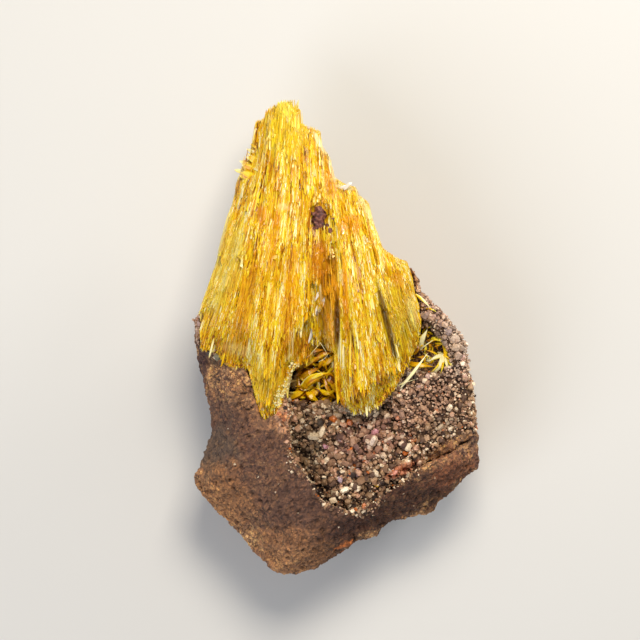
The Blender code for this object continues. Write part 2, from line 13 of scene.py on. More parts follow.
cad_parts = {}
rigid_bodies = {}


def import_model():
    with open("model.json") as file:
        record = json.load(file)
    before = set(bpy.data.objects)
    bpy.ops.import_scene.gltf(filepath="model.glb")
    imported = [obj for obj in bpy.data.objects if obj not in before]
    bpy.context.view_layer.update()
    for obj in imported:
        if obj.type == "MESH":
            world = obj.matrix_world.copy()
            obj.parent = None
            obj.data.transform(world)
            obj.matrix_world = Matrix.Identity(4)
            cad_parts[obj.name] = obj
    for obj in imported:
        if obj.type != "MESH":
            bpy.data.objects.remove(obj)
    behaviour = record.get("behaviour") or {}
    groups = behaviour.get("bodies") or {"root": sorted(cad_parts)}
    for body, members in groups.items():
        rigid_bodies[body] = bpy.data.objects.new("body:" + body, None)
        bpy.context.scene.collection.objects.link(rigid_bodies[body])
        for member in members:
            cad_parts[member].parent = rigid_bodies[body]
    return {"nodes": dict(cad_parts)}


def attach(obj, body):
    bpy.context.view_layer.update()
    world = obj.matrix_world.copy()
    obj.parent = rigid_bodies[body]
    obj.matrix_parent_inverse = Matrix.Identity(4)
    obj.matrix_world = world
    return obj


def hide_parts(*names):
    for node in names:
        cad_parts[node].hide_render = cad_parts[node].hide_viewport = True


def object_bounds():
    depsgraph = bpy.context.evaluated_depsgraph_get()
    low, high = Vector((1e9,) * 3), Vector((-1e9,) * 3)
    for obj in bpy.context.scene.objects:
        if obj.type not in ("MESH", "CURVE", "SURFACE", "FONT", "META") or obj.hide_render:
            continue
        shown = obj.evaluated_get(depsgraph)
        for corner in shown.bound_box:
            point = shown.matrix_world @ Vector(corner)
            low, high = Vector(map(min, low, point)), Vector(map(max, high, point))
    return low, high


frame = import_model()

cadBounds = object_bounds()
mm = 0.001
scene = bpy.context.scene
print("frame loaded:", ", ".join(sorted(frame["nodes"])))

# The photograph lies over the specimen at 8 pixels to the millimetre
photo = {"pixelsPerMm": 8.0, "originPixel": (337.0, 337.5), "width": 640}


def fromPhoto(across, down):
    # a pixel of the photograph as a place on the specimen, in mm
    left, top = photo["originPixel"]
    return (across - left) / photo["pixelsPerMm"], (top - down) / photo["pixelsPerMm"]


def linear(hexColour):
    channels = [int(hexColour[i:i + 2], 16) / 255 for i in (1, 3, 5)]
    return [c / 12.92 if c <= 0.04045 else ((c + 0.055) / 1.055) ** 2.4 for c in channels] + [1.0]


def smoothStep(low, high, value):
    share = np.clip((value - low) / (high - low), 0.0, 1.0)
    return share * share * (3.0 - 2.0 * share)


def addNode(tree, kind, inputs=None, stops=None, **settings):
    # one node with its settings; inputs are values, sockets that feed it, or nodes whose first output does;
    # stops are a ramp's colours
    made = tree.nodes.new(kind)
    for name, value in settings.items():
        setattr(made, name, value)
    for name, value in (inputs or {}).items():
        if isinstance(value, bpy.types.Node):
            value = value.outputs[0]
        if isinstance(value, bpy.types.NodeSocket):
            tree.links.new(value, made.inputs[name])
        else:
            made.inputs[name].default_value = value
    if stops:
        elements = made.color_ramp.elements
        while len(elements) < len(stops):
            elements.new(1.0)
        for element, (place, colour) in zip(elements, stops):
            element.position = place
            element.color = linear(colour)
    return made


def newMaterial(name, **fixed):
    # an empty finish: its tree and its shader, with the values that are the same all over
    made = bpy.data.materials.new(name)
    made.use_nodes = True
    shader = made.node_tree.nodes["Principled BSDF"]
    for socket, value in fixed.items():
        shader.inputs[socket.replace("_", " ")].default_value = value
    return made, made.node_tree, shader


def paintZones(tree, colour, place, zones):
    # lays soft-edged patches over a colour: the pixel of each middle, half sizes in mm, turn in degrees,
    # colour and strength
    for pixel, (wide, long), turn, shade, strength in zones:
        x, y = fromPhoto(*pixel)
        patch = addNode(tree, "ShaderNodeMapping", {
            "Vector": place, "Location": (x * mm, y * mm, 0.0), "Rotation": (0.0, 0.0, math.radians(turn)),
            "Scale": (wide * mm, long * mm, 1.0)}, vector_type="TEXTURE")
        ball = addNode(tree, "ShaderNodeTexGradient", {"Vector": patch}, gradient_type="SPHERICAL")
        share = addNode(tree, "ShaderNodeMapRange", {
            "Value": ball.outputs["Fac"], "From Max": 0.5, "To Max": strength},
            interpolation_type="SMOOTHSTEP")
        colour = addNode(tree, "ShaderNodeMix", {0: share, 6: colour, 7: linear(shade)},
                         data_type="RGBA").outputs[2]
    return colour


def newObject(name, data):
    made = bpy.data.objects.new(name, data)
    scene.collection.objects.link(made)
    return made


def takeMesh(bm, name):
    mesh = bpy.data.meshes.new(name)
    bm.to_mesh(mesh)
    bm.free()
    return mesh


def mergedCopy(nodeName, name):
    # the CAD solid as one welded mesh, which may be changed
    bm = bmesh.new()
    bm.from_mesh(frame["nodes"][nodeName].data)
    bmesh.ops.remove_doubles(bm, verts=bm.verts, dist=1e-7)
    return newObject(name, takeMesh(bm, name))


def bakeModifiers(piece):
    # what the modifiers make becomes the piece's own plain mesh
    shape = bpy.data.meshes.new_from_object(piece.evaluated_get(bpy.context.evaluated_depsgraph_get()))
    old = piece.data
    piece.modifiers.clear()
    piece.data = shape
    bpy.data.meshes.remove(old)
    return piece


def remesh(piece, voxel):
    modifier = piece.modifiers.new("even mesh", "REMESH")
    modifier.mode = "VOXEL"
    modifier.voxel_size = voxel * mm
    return bakeModifiers(piece)


def readPoints(mesh):
    # the vertices' places in mm, and their normals, one row each
    places = np.empty(len(mesh.vertices) * 3, np.float32)
    normals = np.empty(len(mesh.vertices) * 3, np.float32)
    mesh.vertices.foreach_get("co", places)
    mesh.vertices.foreach_get("normal", normals)
    return places.reshape(-1, 3).astype(float) / mm, normals.reshape(-1, 3).astype(float)


def writePoints(mesh, places):
    mesh.vertices.foreach_set("co", (places * mm).astype(np.float32).ravel())
    mesh.update()


def writeAttribute(mesh, name, values):
    kind, field = ("FLOAT_VECTOR", "vector") if values.ndim == 2 else ("FLOAT", "value")
    made = mesh.attributes.get(name) or mesh.attributes.new(name, kind, "POINT")
    made.data.foreach_set(field, values.astype(np.float32).ravel())


def awayFrom(places, pixels):
    # how far each place lies from a line through pixels of the photograph, seen from above, in mm
    nearest = np.full(len(places), np.inf)
    route = [np.array(fromPhoto(*pixel)) for pixel in pixels]
    for start, end in zip(route, route[1:]):
        run = end - start
        share = np.clip((places[:, :2] - start) @ run / (run @ run), 0.0, 1.0)
        away = np.linalg.norm(places[:, :2] - start - share[:, None] * run, axis=1)
        nearest = np.minimum(nearest, away)
    return nearest


def surfaceOf(piece):
    return BVHTree.FromObject(piece, bpy.context.evaluated_depsgraph_get())


def topUnder(surface, pixel):
    # the highest point of a surface under a pixel of the photograph, in metres, or None where it has none
    x, y = fromPhoto(*pixel)
    return surface.ray_cast(Vector((x, y, 60.0)) * mm, Vector((0.0, 0.0, -1.0)))[0]


def finishPiece(piece, material, replaced=()):
    piece.data.materials.clear()
    piece.data.materials.append(material)
    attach(piece, "root")
    if replaced:
        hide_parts(*replaced)
    print(f"{piece.name}: {len(piece.data.polygons)} faces")


# Camera, light and floor

view = {
    "distance": 700.0,  # far enough that the 22 mm of depth hardly changes the scale
    "focusHeight": 17.0,  # the photograph's scale holds at this height above the floor
    "sensor": 36.0,
    "floor": 3000.0,  # side of the card that the specimen lies on
    "card": "#CFCDC8",
    "surround": ("#DDE1E6", 0.35),  # colour and strength of the light from all round
}
lights = {  # towards the light from the specimen, its distance, size, power in watts and colour
    "key": ((0.12, 0.5, 0.88), 320.0, 130.0, 0.92, "#FFF6E8"),
    "fill": ((-0.6, -0.55, 0.75), 380.0, 240.0, 0.75, "#EEF3FF"),
    "rim": ((0.75, 0.75, 0.3), 300.0, 90.0, 0.5, "#FFFFFF"),
}


def buildStudio():
    x, y = fromPhoto(photo["width"] / 2, photo["width"] / 2)
    camera = newObject("camera", bpy.data.cameras.new("camera"))
    camera.location = (x * mm, y * mm, (view["focusHeight"] + view["distance"]) * mm)
    camera.data.sensor_width = view["sensor"]
    camera.data.lens = view["sensor"] * view["distance"] / (photo["width"] / photo["pixelsPerMm"])
    camera.data.clip_start = 0.01
    camera.data.clip_end = 10.0
    scene.camera = camera

    for name, (towards, distance, size, power, colour) in lights.items():
        lamp = newObject(name, bpy.data.lights.new(name, "AREA"))
        towards = Vector(towards).normalized()
        lamp.location = towards * distance * mm
        lamp.rotation_mode = "QUATERNION"
        lamp.rotation_quaternion = towards.to_track_quat("Z", "Y")
        lamp.data.size = size * mm
        lamp.data.energy = power
        lamp.data.color = linear(colour)[:3]

    colour, strength = view["surround"]
    scene.world = bpy.data.worlds.new("studio")
    scene.world.use_nodes = True
    backdrop = scene.world.node_tree.nodes["Background"]
    backdrop.inputs["Color"].default_value = linear(colour)
    backdrop.inputs["Strength"].default_value = strength
    scene.view_settings.view_transform = "Standard"

    # uncoated card: plain and matt, so that it shows only the soft shadow
    material, _, shader = newMaterial("uncoated card, pale grey", Roughness=0.9)
    shader.inputs["Base Color"].default_value = linear(view["card"])
    bpy.ops.mesh.primitive_plane_add(size=view["floor"] * mm)
    floor = bpy.context.object
    floor.name = "floor"
    floor.data.materials.append(material)


buildStudio()
print("studio ready")

# The rock: dense brown limonite with a broken, earthy surface

rock = {
    "voxel": 0.24,
    "lumps": (3.2, 0.22),  # size and height of each kind of relief
    "chips": (2.2, 0.22),
    "grit": (0.8, 0.3),
    "dust": (0.34, 0.16),
    # a pore's cell, its radius as a share of that, its depth, how many cells have one, and the size of the
    # patches that have many
    "pores": {"size": 1.1, "radius": 0.32, "depth": 0.5, "share": 0.576, "patch": 5.0},
    "knobsAbove": 6.0,  # height above the floor from which the knobs and the cracks show
    "cracksAbove": 12.0,
    "knobs": [  # pixels of a line, how far from it the surface swells, and how much
        (((363, 535), (374, 531)), 1.2, 0.6), (((427, 513), (433, 510)), 1.0, 0.5),
        (((342, 547), (349, 543)), 0.8, 0.3), (((203, 352), (212, 354)), 1.1, 0.4),
        (((272, 566), (286, 568)), 1.2, 0.35), (((280, 409), (292, 412)), 1.4, 0.35),
        (((414, 468), (437, 456), (454, 451), (464, 443), (475, 437)), 1.0, 0.3),
    ],
    "cracks": [  # pixels of a line, its half width and its depth
        (((243, 388), (250, 386), (258, 387)), 0.16, 0.4), (((246, 394), (252, 392), (257, 394)), 0.16, 0.4),
        (((244, 408), (249, 410), (254, 406)), 0.2, 0.5), (((279, 421), (286, 426)), 0.14, 0.4),
        (((282, 427), (291, 429)), 0.14, 0.4),
    ],
    "fullShadeDepth": 0.4,  # depth of a crack that is fully dark with painted shade
    "speckles": [  # grain size, colour, the random values between which it comes in, and its strength
        (0.5, "#DDB57C", 0.66, 0.74, 0.75), (0.34, "#D8B890", 0.72, 0.8, 0.6),
        (0.62, "#5A4644", 0.34, 0.26, 0.7), (0.3, "#33221C", 0.26, 0.2, 0.8),
    ],
    "zones": [  # as paintZones takes them
        ((262, 470), (8.5, 15.0), 40, "#583F38", 0.85), ((318, 530), (5.0, 9.0), 40, "#543C32", 0.85),
        ((338, 505), (7.0, 2.6), -12, "#5C4238", 0.8), ((212, 448), (4.0, 4.0), 0, "#5A5048", 0.6),
        ((290, 556), (7.0, 4.5), 0, "#9C7250", 0.6), ((222, 500), (5.0, 6.0), 30, "#A0744C", 0.5),
        ((272, 405), (4.0, 4.0), 0, "#A67F62", 0.5), ((285, 418), (1.7, 2.1), 0, "#C29A80", 0.85),
        ((284, 411), (0.9, 0.6), 0, "#D08A5A", 0.8), ((206, 350), (2.2, 1.6), 0, "#40332A", 0.7),
        # (199, 380) is painted shade down the left edge and (405, 500) painted shade along the lower right
        # edge, where the rock faces away from the light
        ((199, 380), (0.9, 6.5), 4, "#4A3338", 0.85), ((199, 322), (1.1, 2.4), 0, "#C9A48E", 0.8),
        ((405, 466), (4.5, 0.8), 30, "#B5613A", 0.6), ((405, 500), (14.0, 3.4), 27, "#3C1E14", 0.88),
        ((450, 470), (4.0, 3.0), 30, "#8A5A42", 0.6), ((345, 546), (1.6, 0.8), 0, "#B36A33", 0.7),
        ((474, 420), (1.2, 8.0), 0, "#5A4038", 0.7),
    ],
}


def rockRelief(places):
    # how far each point moves along its normal, and how deep in a pore it lies
    (lumpSize, lumpHeight), (chipSize, chipHeight) = rock["lumps"], rock["chips"]
    (gritSize, gritHeight), (dustSize, dustHeight) = rock["grit"], rock["dust"]
    pores = rock["pores"]
    moved = np.zeros(len(places))
    sunk = np.zeros(len(places))
    for i, place in enumerate(places):
        point = Vector(place)
        height = lumpHeight * noise.noise(point / lumpSize)
        chip = noise.voronoi(point / chipSize)[1][0]
        # each chip is a facet with a tilt of its own
        tilt = noise.cell_vector(chip * 9.1) - Vector((0.5, 0.5, 0.5))
        height += chipHeight * (point / chipSize - chip).dot(tilt)
        grit = noise.turbulence(point / gritSize, 3, False) - 0.5
        height += gritHeight * grit + dustHeight * noise.noise(point / dustSize)
        distances, spots = noise.voronoi(point / pores["size"] + Vector((7.0, 3.0, 1.0)))
        crowding = 0.5 + 0.5 * noise.noise(point / pores["patch"] + Vector((0.0, 0.0, 20.0)))
        if noise.cell(spots[0] * 31.7) < pores["share"] * crowding:
            sunk[i] = max(0.0, 1.0 - distances[0] / pores["radius"])
        moved[i] = height - pores["depth"] * sunk[i]
    return moved, sunk


def limoniteMaterial(name):
    # limonite, broken: dull and earthy, sandy with tan and dark grains, with a few tiny glints of quartz
    material, tree, shader = newMaterial(name, Roughness=0.85)
    place = addNode(tree, "ShaderNodeTexCoord").outputs["Object"]
    warp = addNode(tree, "ShaderNodeTexNoise", {"Vector": place, "Scale": 1 / (2.2 * mm), "Detail": 4.0})
    bent = addNode(tree, "ShaderNodeVectorMath", {0: warp.outputs["Color"], 1: (0.5, 0.5, 0.5)},
                   operation="SUBTRACT")
    bent = addNode(tree, "ShaderNodeVectorMath", {0: bent, "Scale": 6.0 * mm}, operation="SCALE")
    bentPlace = addNode(tree, "ShaderNodeVectorMath", {0: place, 1: bent}, operation="ADD")

    clouds = addNode(tree, "ShaderNodeTexNoise", {"Vector": place, "Scale": 1 / (3.4 * mm), "Detail": 8.0,
                                                  "Roughness": 0.72})
    base = addNode(tree, "ShaderNodeValToRGB", {"Fac": clouds.outputs["Fac"]}, stops=[
        (0.32, "#86604A"), (0.46, "#987256"), (0.56, "#AC845E"), (0.70, "#CBA276")])
    colour = base.outputs["Color"]
    for size, stain, least, most, strength in rock["speckles"]:
        spots = addNode(tree, "ShaderNodeTexVoronoi", {"Vector": bentPlace, "Scale": 1 / (size * mm)})
        here = addNode(tree, "ShaderNodeMapRange", {"Value": spots.outputs["Color"], "From Min": least,
                                                    "From Max": most, "To Max": strength})
        colour = addNode(tree, "ShaderNodeMix", {0: here, 6: colour, 7: linear(stain)},
                         data_type="RGBA").outputs[2]
    colour = paintZones(tree, colour, bentPlace, rock["zones"])

    sand = addNode(tree, "ShaderNodeTexVoronoi", {"Vector": place, "Scale": 1 / (0.26 * mm)})
    sandTone = addNode(tree, "ShaderNodeValToRGB", {"Fac": sand.outputs["Color"]}, stops=[
        (0.12, "#52443A"), (0.34, "#A29280"), (0.62, "#C6B294"), (0.88, "#FFEABE")])
    colour = addNode(tree, "ShaderNodeMix", {0: 0.62, 6: colour, 7: sandTone.outputs["Color"]},
                     data_type="RGBA", blend_type="OVERLAY").outputs[2]
    grit = addNode(tree, "ShaderNodeTexNoise", {"Vector": place, "Scale": 1 / (0.5 * mm), "Detail": 5.0,
                                                "Roughness": 0.75})
    # painted shade: darker in the small pits where the bump sinks, and by the sunk value in pores, cracks and
    # the druse's ground
    paintedPitShade = addNode(tree, "ShaderNodeMapRange", {
        "Value": grit.outputs["Fac"], "From Min": 0.45, "From Max": 0.36, "To Max": 0.85})
    sunk = addNode(tree, "ShaderNodeAttribute", attribute_name="sunk").outputs["Fac"]
    paintedShade = addNode(tree, "ShaderNodeMapRange", {
        "Value": sunk, "From Min": 0.15, "From Max": 0.8, "To Max": 0.85})
    paintedShade = addNode(tree, "ShaderNodeMath", {0: paintedShade, 1: paintedPitShade}, operation="MAXIMUM")
    colour = addNode(tree, "ShaderNodeMix", {0: paintedShade, 6: colour, 7: linear("#2E1A10")},
                     data_type="RGBA").outputs[2]
    # painted highlight: a few tiny cells are painted pale for glints of quartz, and made glossy as well
    glint = addNode(tree, "ShaderNodeTexVoronoi", {"Vector": place, "Scale": 1 / (0.22 * mm)})
    paintedGlintAndGlossHere = addNode(tree, "ShaderNodeMapRange", {"Value": glint.outputs["Color"], "From Min": 0.95,
                                                     "From Max": 0.97})
    colour = addNode(tree, "ShaderNodeMix", {0: paintedGlintAndGlossHere, 6: colour, 7: linear("#D9C4A4")},
                     data_type="RGBA").outputs[2]
    tree.links.new(colour, shader.inputs["Base Color"])
    rough = addNode(tree, "ShaderNodeMapRange", {"Value": paintedGlintAndGlossHere, "To Min": 0.85, "To Max": 0.25})
    tree.links.new(rough.outputs[0], shader.inputs["Roughness"])
    bump = addNode(tree, "ShaderNodeBump", {
        "Height": grit.outputs["Fac"], "Strength": 0.8, "Distance": 0.16 * mm})
    tree.links.new(bump.outputs[0], shader.inputs["Normal"])
    return material


def buildRock():
    piece = remesh(mergedCopy("matrix", "limonite_rock"), rock["voxel"])
    places, normals = readPoints(piece.data)
    moved, sunk = rockRelief(places)
    cracks = np.zeros(len(places))
    for pixels, width, depth in rock["cracks"]:
        cut = depth * np.clip(1.0 - awayFrom(places, pixels) / width, 0.0, 1.0)
        cracks = np.maximum(cracks, np.where(places[:, 2] > rock["cracksAbove"], cut, 0.0))
    moved -= cracks
    for pixels, reach, height in rock["knobs"]:
        swell = height * (1.0 - smoothStep(0.0, reach, awayFrom(places, pixels)))
        moved += np.where(places[:, 2] > rock["knobsAbove"], swell, 0.0)
    places += normals * moved[:, None]
    places[:, 2] = np.maximum(places[:, 2], 0.0)
    writePoints(piece.data, places)
    # the sunk value, highest deep in pores and cracks, becomes painted shade in the material
    writeAttribute(piece.data, "sunk", np.maximum(sunk, cracks / rock["fullShadeDepth"]))
    finishPiece(piece, limoniteMaterial("limonite, broken face"), ["matrix"])
    return piece


rockPiece = buildRock()

# The spray: a core that carries the form, and thousands of needles over it in four sizes

spray = {
    "voxel": 0.22,
    "sunk": 0.12,  # the core lies this far inside the CAD form
    "foot": {  # and the steep sides of its feet this far outside it, where they have grown into the rock
        "below": 2.0, "under": 17.5, "steep": 0.5, "swell": 0.3, "leftOf": -15.5, "swellLeft": 0.12,
    },
    "fanCentre": (-2.75, 47.0),  # the needles diverge from here
    "fanTop": 28.5,  # above this they run almost straight
    "fanFull": 13.5,  # below this they spread fully
    "fanLeast": 0.2,  # share of their full spread at the top
    "fanSteps": (-20.0, 34.0, 217),  # Y from foot to top, and how many steps the spread is added up in
    # core under this height, short of this Y and not turned further left than this is in the rock
    "hidden": {"under": 13.2, "below": 10.5, "facing": -0.3},
    "backShare": 0.45,  # how many of the needles grow where the spray faces the floor
    "endOnFull": 0.35,  # how far the surface faces along the needles where it cuts them fully end on
    "rimLightSides": (8.0, 16.0),  # Y between which the steep sides are painted paler, as highlight of light through their thin edges
    "reach": {"front": 0.18, "top": 0.35, "feet": 0.7},  # how far needles may stand off the core
    "ends": 0.35,  # the part of the core's normal along Y from which it is its top or its feet
    "ceiling": 0.25,  # how far above the CAD form the highest needles reach
    "drawnBack": 0.4,  # a needle that would have to be drawn further back than this is left out
    "drawnIn": 0.4,  # how much of its length a needle withdraws where the surface cuts it end on
    "layers": {  # needles per square mm, length, width, lift of the free end in degrees, height off the core
        "blades": (6.0, (2.2, 6.0), (0.14, 0.28), (-1.5, 1.5), (-0.1, 0.05)),
        "laths": (9.5, (1.2, 3.4), (0.09, 0.21), (-1.5, 3.0), (-0.02, 0.1)),
        "splinters": (9.5, (0.8, 2.2), (0.08, 0.18), (-2.0, 5.0), (0.0, 0.14)),
        "slivers": (9.5, (0.4, 1.2), (0.06, 0.13), (-3.0, 9.0), (0.03, 0.18)),
    },
    "seed": 3,
    "sway": 2.5,  # degrees that a needle strays sideways
    "needleSides": 3,
    "streaks": [  # width and length of the colour's streaks along the needles, seed and weight
        (1.5, 16.0, 3.0, 1.3), (0.45, 5.0, 11.0, 1.3), (0.16, 3.0, 23.0, 0.8),
    ],
    "zones": [
        # (337, 322) is painted shade at the foot of the column's left edge
        ((330, 300), (1.7, 7.0), 0, "#FFBA22", 0.7), ((337, 322), (0.5, 4.4), 0, "#6A3604", 0.85),
        ((345, 300), (0.5, 6.5), 2, "#E8900A", 0.6), ((225, 270), (2.4, 8.0), -18, "#E8CE50", 0.5),
        ((244, 310), (1.2, 9.0), -16, "#DE9A12", 0.55), ((262, 215), (0.8, 1.6), 0, "#E08208", 0.55),
        ((330, 185), (0.9, 2.6), 8, "#E89008", 0.5), ((350, 225), (2.0, 1.6), 0, "#F09C08", 0.5),
        ((320, 262), (1.6, 3.4), 0, "#E08808", 0.6), ((395, 320), (2.6, 6.5), 12, "#D0BC20", 0.35),
        ((386, 320), (0.5, 6.0), 14, "#6A3C0A", 0.8), ((398, 280), (1.0, 1.4), 0, "#E09010", 0.5),
        # the cream patches at (319, 141), (332, 169) and (345, 187) are painted highlight where light catches
        # the upper right edge
        ((319, 141), (0.4, 2.0), 27, "#FFF3C4", 0.6), ((332, 169), (0.4, 2.2), 15, "#FFF3C4", 0.6),
        ((345, 187), (1.6, 0.4), -10, "#F6EFC4", 0.5), ((412, 312), (0.8, 2.6), 10, "#F6EE90", 0.4),
        ((223, 232), (0.45, 6.5), -16, "#F6ECA0", 0.45), ((365, 208), (0.4, 3.0), 26, "#FBF0A8", 0.5),
        ((290, 300), (1.4, 9.0), -4, "#F09A06", 0.3), ((274, 240), (0.7, 6.0), -9, "#EE9206", 0.4),
        ((300, 350), (1.6, 2.6), 0, "#F09808", 0.3), ((286, 106), (1.6, 1.6), 0, "#FBEA60", 0.6),
        ((284, 132), (3.4, 4.6), 0, "#F6DE30", 0.45), ((262, 380), (3.0, 4.0), 0, "#FBDC38", 0.3),
        ((240, 165), (0.8, 2.2), 0, "#FFEFA0", 0.35), ((283, 207), (0.8, 0.6), 0, "#F6E2A8", 0.45),
        ((240, 350), (3.0, 0.9), -12, "#FBE79A", 0.25), ((291, 384), (0.8, 2.2), -12, "#EAE0A0", 0.45),
    ],
}


def fanOpening(heights):
    # the share of their full spread that the needles have at each Y
    least = spray["fanLeast"]
    return least + (1.0 - least) * smoothStep(-spray["fanTop"], -spray["fanFull"], -heights)


def fanWidth(heights):
    # how wide the fan has opened at each Y, against the foot of the specimen
    steps = np.linspace(*spray["fanSteps"])
    rate = fanOpening(steps) / (spray["fanCentre"][1] - steps)
    closing = np.concatenate([[0.0], np.cumsum(0.5 * (rate[1:] + rate[:-1]) * np.diff(steps))])
    return np.interp(heights, steps, np.exp(-closing))


def grainAlong(places, normals):
    # the needles' direction at each point: the fan's own heading, tipped to lie along the surface;
    # and how far the surface faces them end on, above zero where their feet come out
    centreX, centreY = spray["fanCentre"]
    lean = fanOpening(places[:, 1]) * (places[:, 0] - centreX) / (centreY - places[:, 1])
    run = np.stack([lean, -np.ones(len(lean)), np.zeros(len(lean))], axis=1)
    run /= np.linalg.norm(run, axis=1)[:, None]
    endOn = np.sum(run * normals, axis=1)
    facing = smoothStep(0.2, 0.5, np.abs(normals[:, 2]))
    tip = -endOn / np.where(np.abs(normals[:, 2]) > 0.2, normals[:, 2], np.inf)
    run[:, 2] = np.clip(tip, -0.9, 0.9) * facing
    return run / np.linalg.norm(run, axis=1)[:, None], np.clip(endOn / spray["endOnFull"], -1.0, 1.0)


def buildCore():
    piece = remesh(mergedCopy("legrandite_spray", "spray_core"), spray["voxel"])
    places, normals = readPoints(piece.data)
    x, y, z = places.T
    foot, hidden = spray["foot"], spray["hidden"]
    buried = (z < hidden["under"]) & (y < hidden["below"]) & (normals[:, 0] > hidden["facing"])
    along, endOn = grainAlong(places, normals)
    # painted highlight: the steep sides of the upper spray, where light comes through the thin edges
    paintedRimLight = smoothStep(0.45, 0.95, 1.0 - normals[:, 2]) * smoothStep(*spray["rimLightSides"], y)
    across = (x - spray["fanCentre"][0]) / fanWidth(y)
    writeAttribute(piece.data, "grain", np.stack([across, y, z], axis=1))
    writeAttribute(piece.data, "rim", paintedRimLight)
    writeAttribute(piece.data, "along", along)
    cover = np.where(normals[:, 2] < -0.3, spray["backShare"], 1.0)
    writeAttribute(piece.data, "cover", np.where(buried, 0.0, cover))
    writeAttribute(piece.data, "endOn", endOn)
    inFoot = (y < foot["below"]) & (z < foot["under"]) & (np.abs(normals[:, 2]) < foot["steep"])
    swell = np.where(x > foot["leftOf"], foot["swell"], foot["swellLeft"])
    writePoints(piece.data, places + normals * np.where(inFoot, swell, -spray["sunk"])[:, None])
    return piece


def comb(piece, ground):
    # draws points that stand too far off the ground back to it, and drops needles that would be bent by that
    # or that stand too high
    surface = surfaceOf(ground)
    reach = spray["reach"]
    places = readPoints(piece.data)[0]
    ceiling = cadBounds[1][2] / mm + spray["ceiling"]
    drawn = np.where(places[:, 2] > ceiling, np.inf, 0.0)
    for i, place in enumerate(places):
        spot, normal, _, away = surface.find_nearest(Vector(place * mm))
        if (Vector(place * mm) - spot).dot(normal) < 0.0:
            continue
        away = away / mm
        end = "feet" if normal.y < -spray["ends"] else "top" if normal.y > spray["ends"] else "front"
        if away > reach[end]:
            spot = np.array(spot) / mm
            places[i] = spot + (place - spot) * (reach[end] / away)
            drawn[i] = max(drawn[i], away - reach[end])
    places[:, 1] = np.minimum(places[:, 1], cadBounds[1][1] / mm)
    writePoints(piece.data, places)
    perNeedle = 2 * spray["needleSides"] + 1
    bent = np.repeat(drawn.reshape(-1, perNeedle).max(axis=1) > spray["drawnBack"], perNeedle)
    bm = bmesh.new()
    bm.from_mesh(piece.data)
    bmesh.ops.delete(bm, geom=[vert for vert, out in zip(bm.verts, bent) if out], context="VERTS")
    bm.to_mesh(piece.data)
    bm.free()


def needleShape():
    # one crystal a millimetre long and wide, with a slanted chisel end and a pointed end
    sides = spray["needleSides"]
    corners = [(math.cos(math.tau * i / sides), math.sin(math.tau * i / sides)) for i in range(sides)]
    bm = bmesh.new()
    foot, head = ([bm.verts.new((size * x, 0.8 * size * y, height + slant * x)) for x, y in corners]
                  for height, size, slant in ((-0.5, 0.36, 0.1), (0.42, 0.5, 0.06)))
    tip = bm.verts.new((0.12, 0.05, 0.5))
    bm.faces.new(foot[::-1])
    for i in range(sides):
        j = (i + 1) % sides
        bm.faces.new((foot[i], foot[j], head[j], head[i]))
        bm.faces.new((head[i], head[j], tip))
    bm.transform(Matrix.Scale(mm, 4))
    return newObject("needle", takeMesh(bm, "needle"))


def drawValues(tree, given, ranges):
    # random values for each point: each range is its step from the tree's seed, its least and its most
    drawn = []
    for step, least, most in ranges:
        seed = addNode(tree, "FunctionNodeIntegerMath", {0: given["Seed"], 1: step}, operation="ADD")
        drawn.append(addNode(tree, "FunctionNodeRandomValue", {2: least, 3: most, "Seed": seed},
                             data_type="FLOAT").outputs[1])
    return drawn


def startTree(title, heightStep, ownSockets):
    # a tree that begins with points scattered over a surface, as its "cover" value says, and lifted off it
    tree = bpy.data.node_groups.new(title, "GeometryNodeTree")
    for name, kind in [("Geometry", "Geometry"), ("Density", "Float"), ("Deepest", "Float"),
                       ("Proudest", "Float"), ("Seed", "Int"), ("Finish", "Material")] + ownSockets:
        tree.interface.new_socket(name=name, in_out="INPUT", socket_type="NodeSocket" + kind)
    tree.interface.new_socket(name="Geometry", in_out="OUTPUT", socket_type="NodeSocketGeometry")
    given = addNode(tree, "NodeGroupInput").outputs
    cover = addNode(tree, "GeometryNodeInputNamedAttribute", {"Name": "cover"}, data_type="FLOAT")
    density = addNode(tree, "ShaderNodeMath", {0: cover, 1: given["Density"]}, operation="MULTIPLY")
    spots = addNode(tree, "GeometryNodeDistributePointsOnFaces", {
        "Mesh": given["Geometry"], "Density": density, "Seed": given["Seed"]})
    height, = drawValues(tree, given, [(heightStep, given["Deepest"], given["Proudest"])])
    lift = addNode(tree, "ShaderNodeVectorMath", {0: spots.outputs["Normal"], "Scale": height},
                   operation="SCALE")
    raised = addNode(tree, "GeometryNodeSetPosition", {"Geometry": spots.outputs["Points"], "Offset": lift})
    return tree, given, spots.outputs["Normal"], raised


def endTree(tree, given, placed, tone):
    # every instance keeps its tone, and all of them become one plain mesh
    toned = addNode(tree, "GeometryNodeStoreNamedAttribute", {
        "Geometry": placed, "Name": "tone", "Value": tone}, data_type="FLOAT", domain="INSTANCE")
    real = addNode(tree, "GeometryNodeRealizeInstances", {"Geometry": toned})
    done = addNode(tree, "GeometryNodeSetMaterial", {"Geometry": real, "Material": given["Finish"]})
    addNode(tree, "NodeGroupOutput", {"Geometry": done})
    return tree


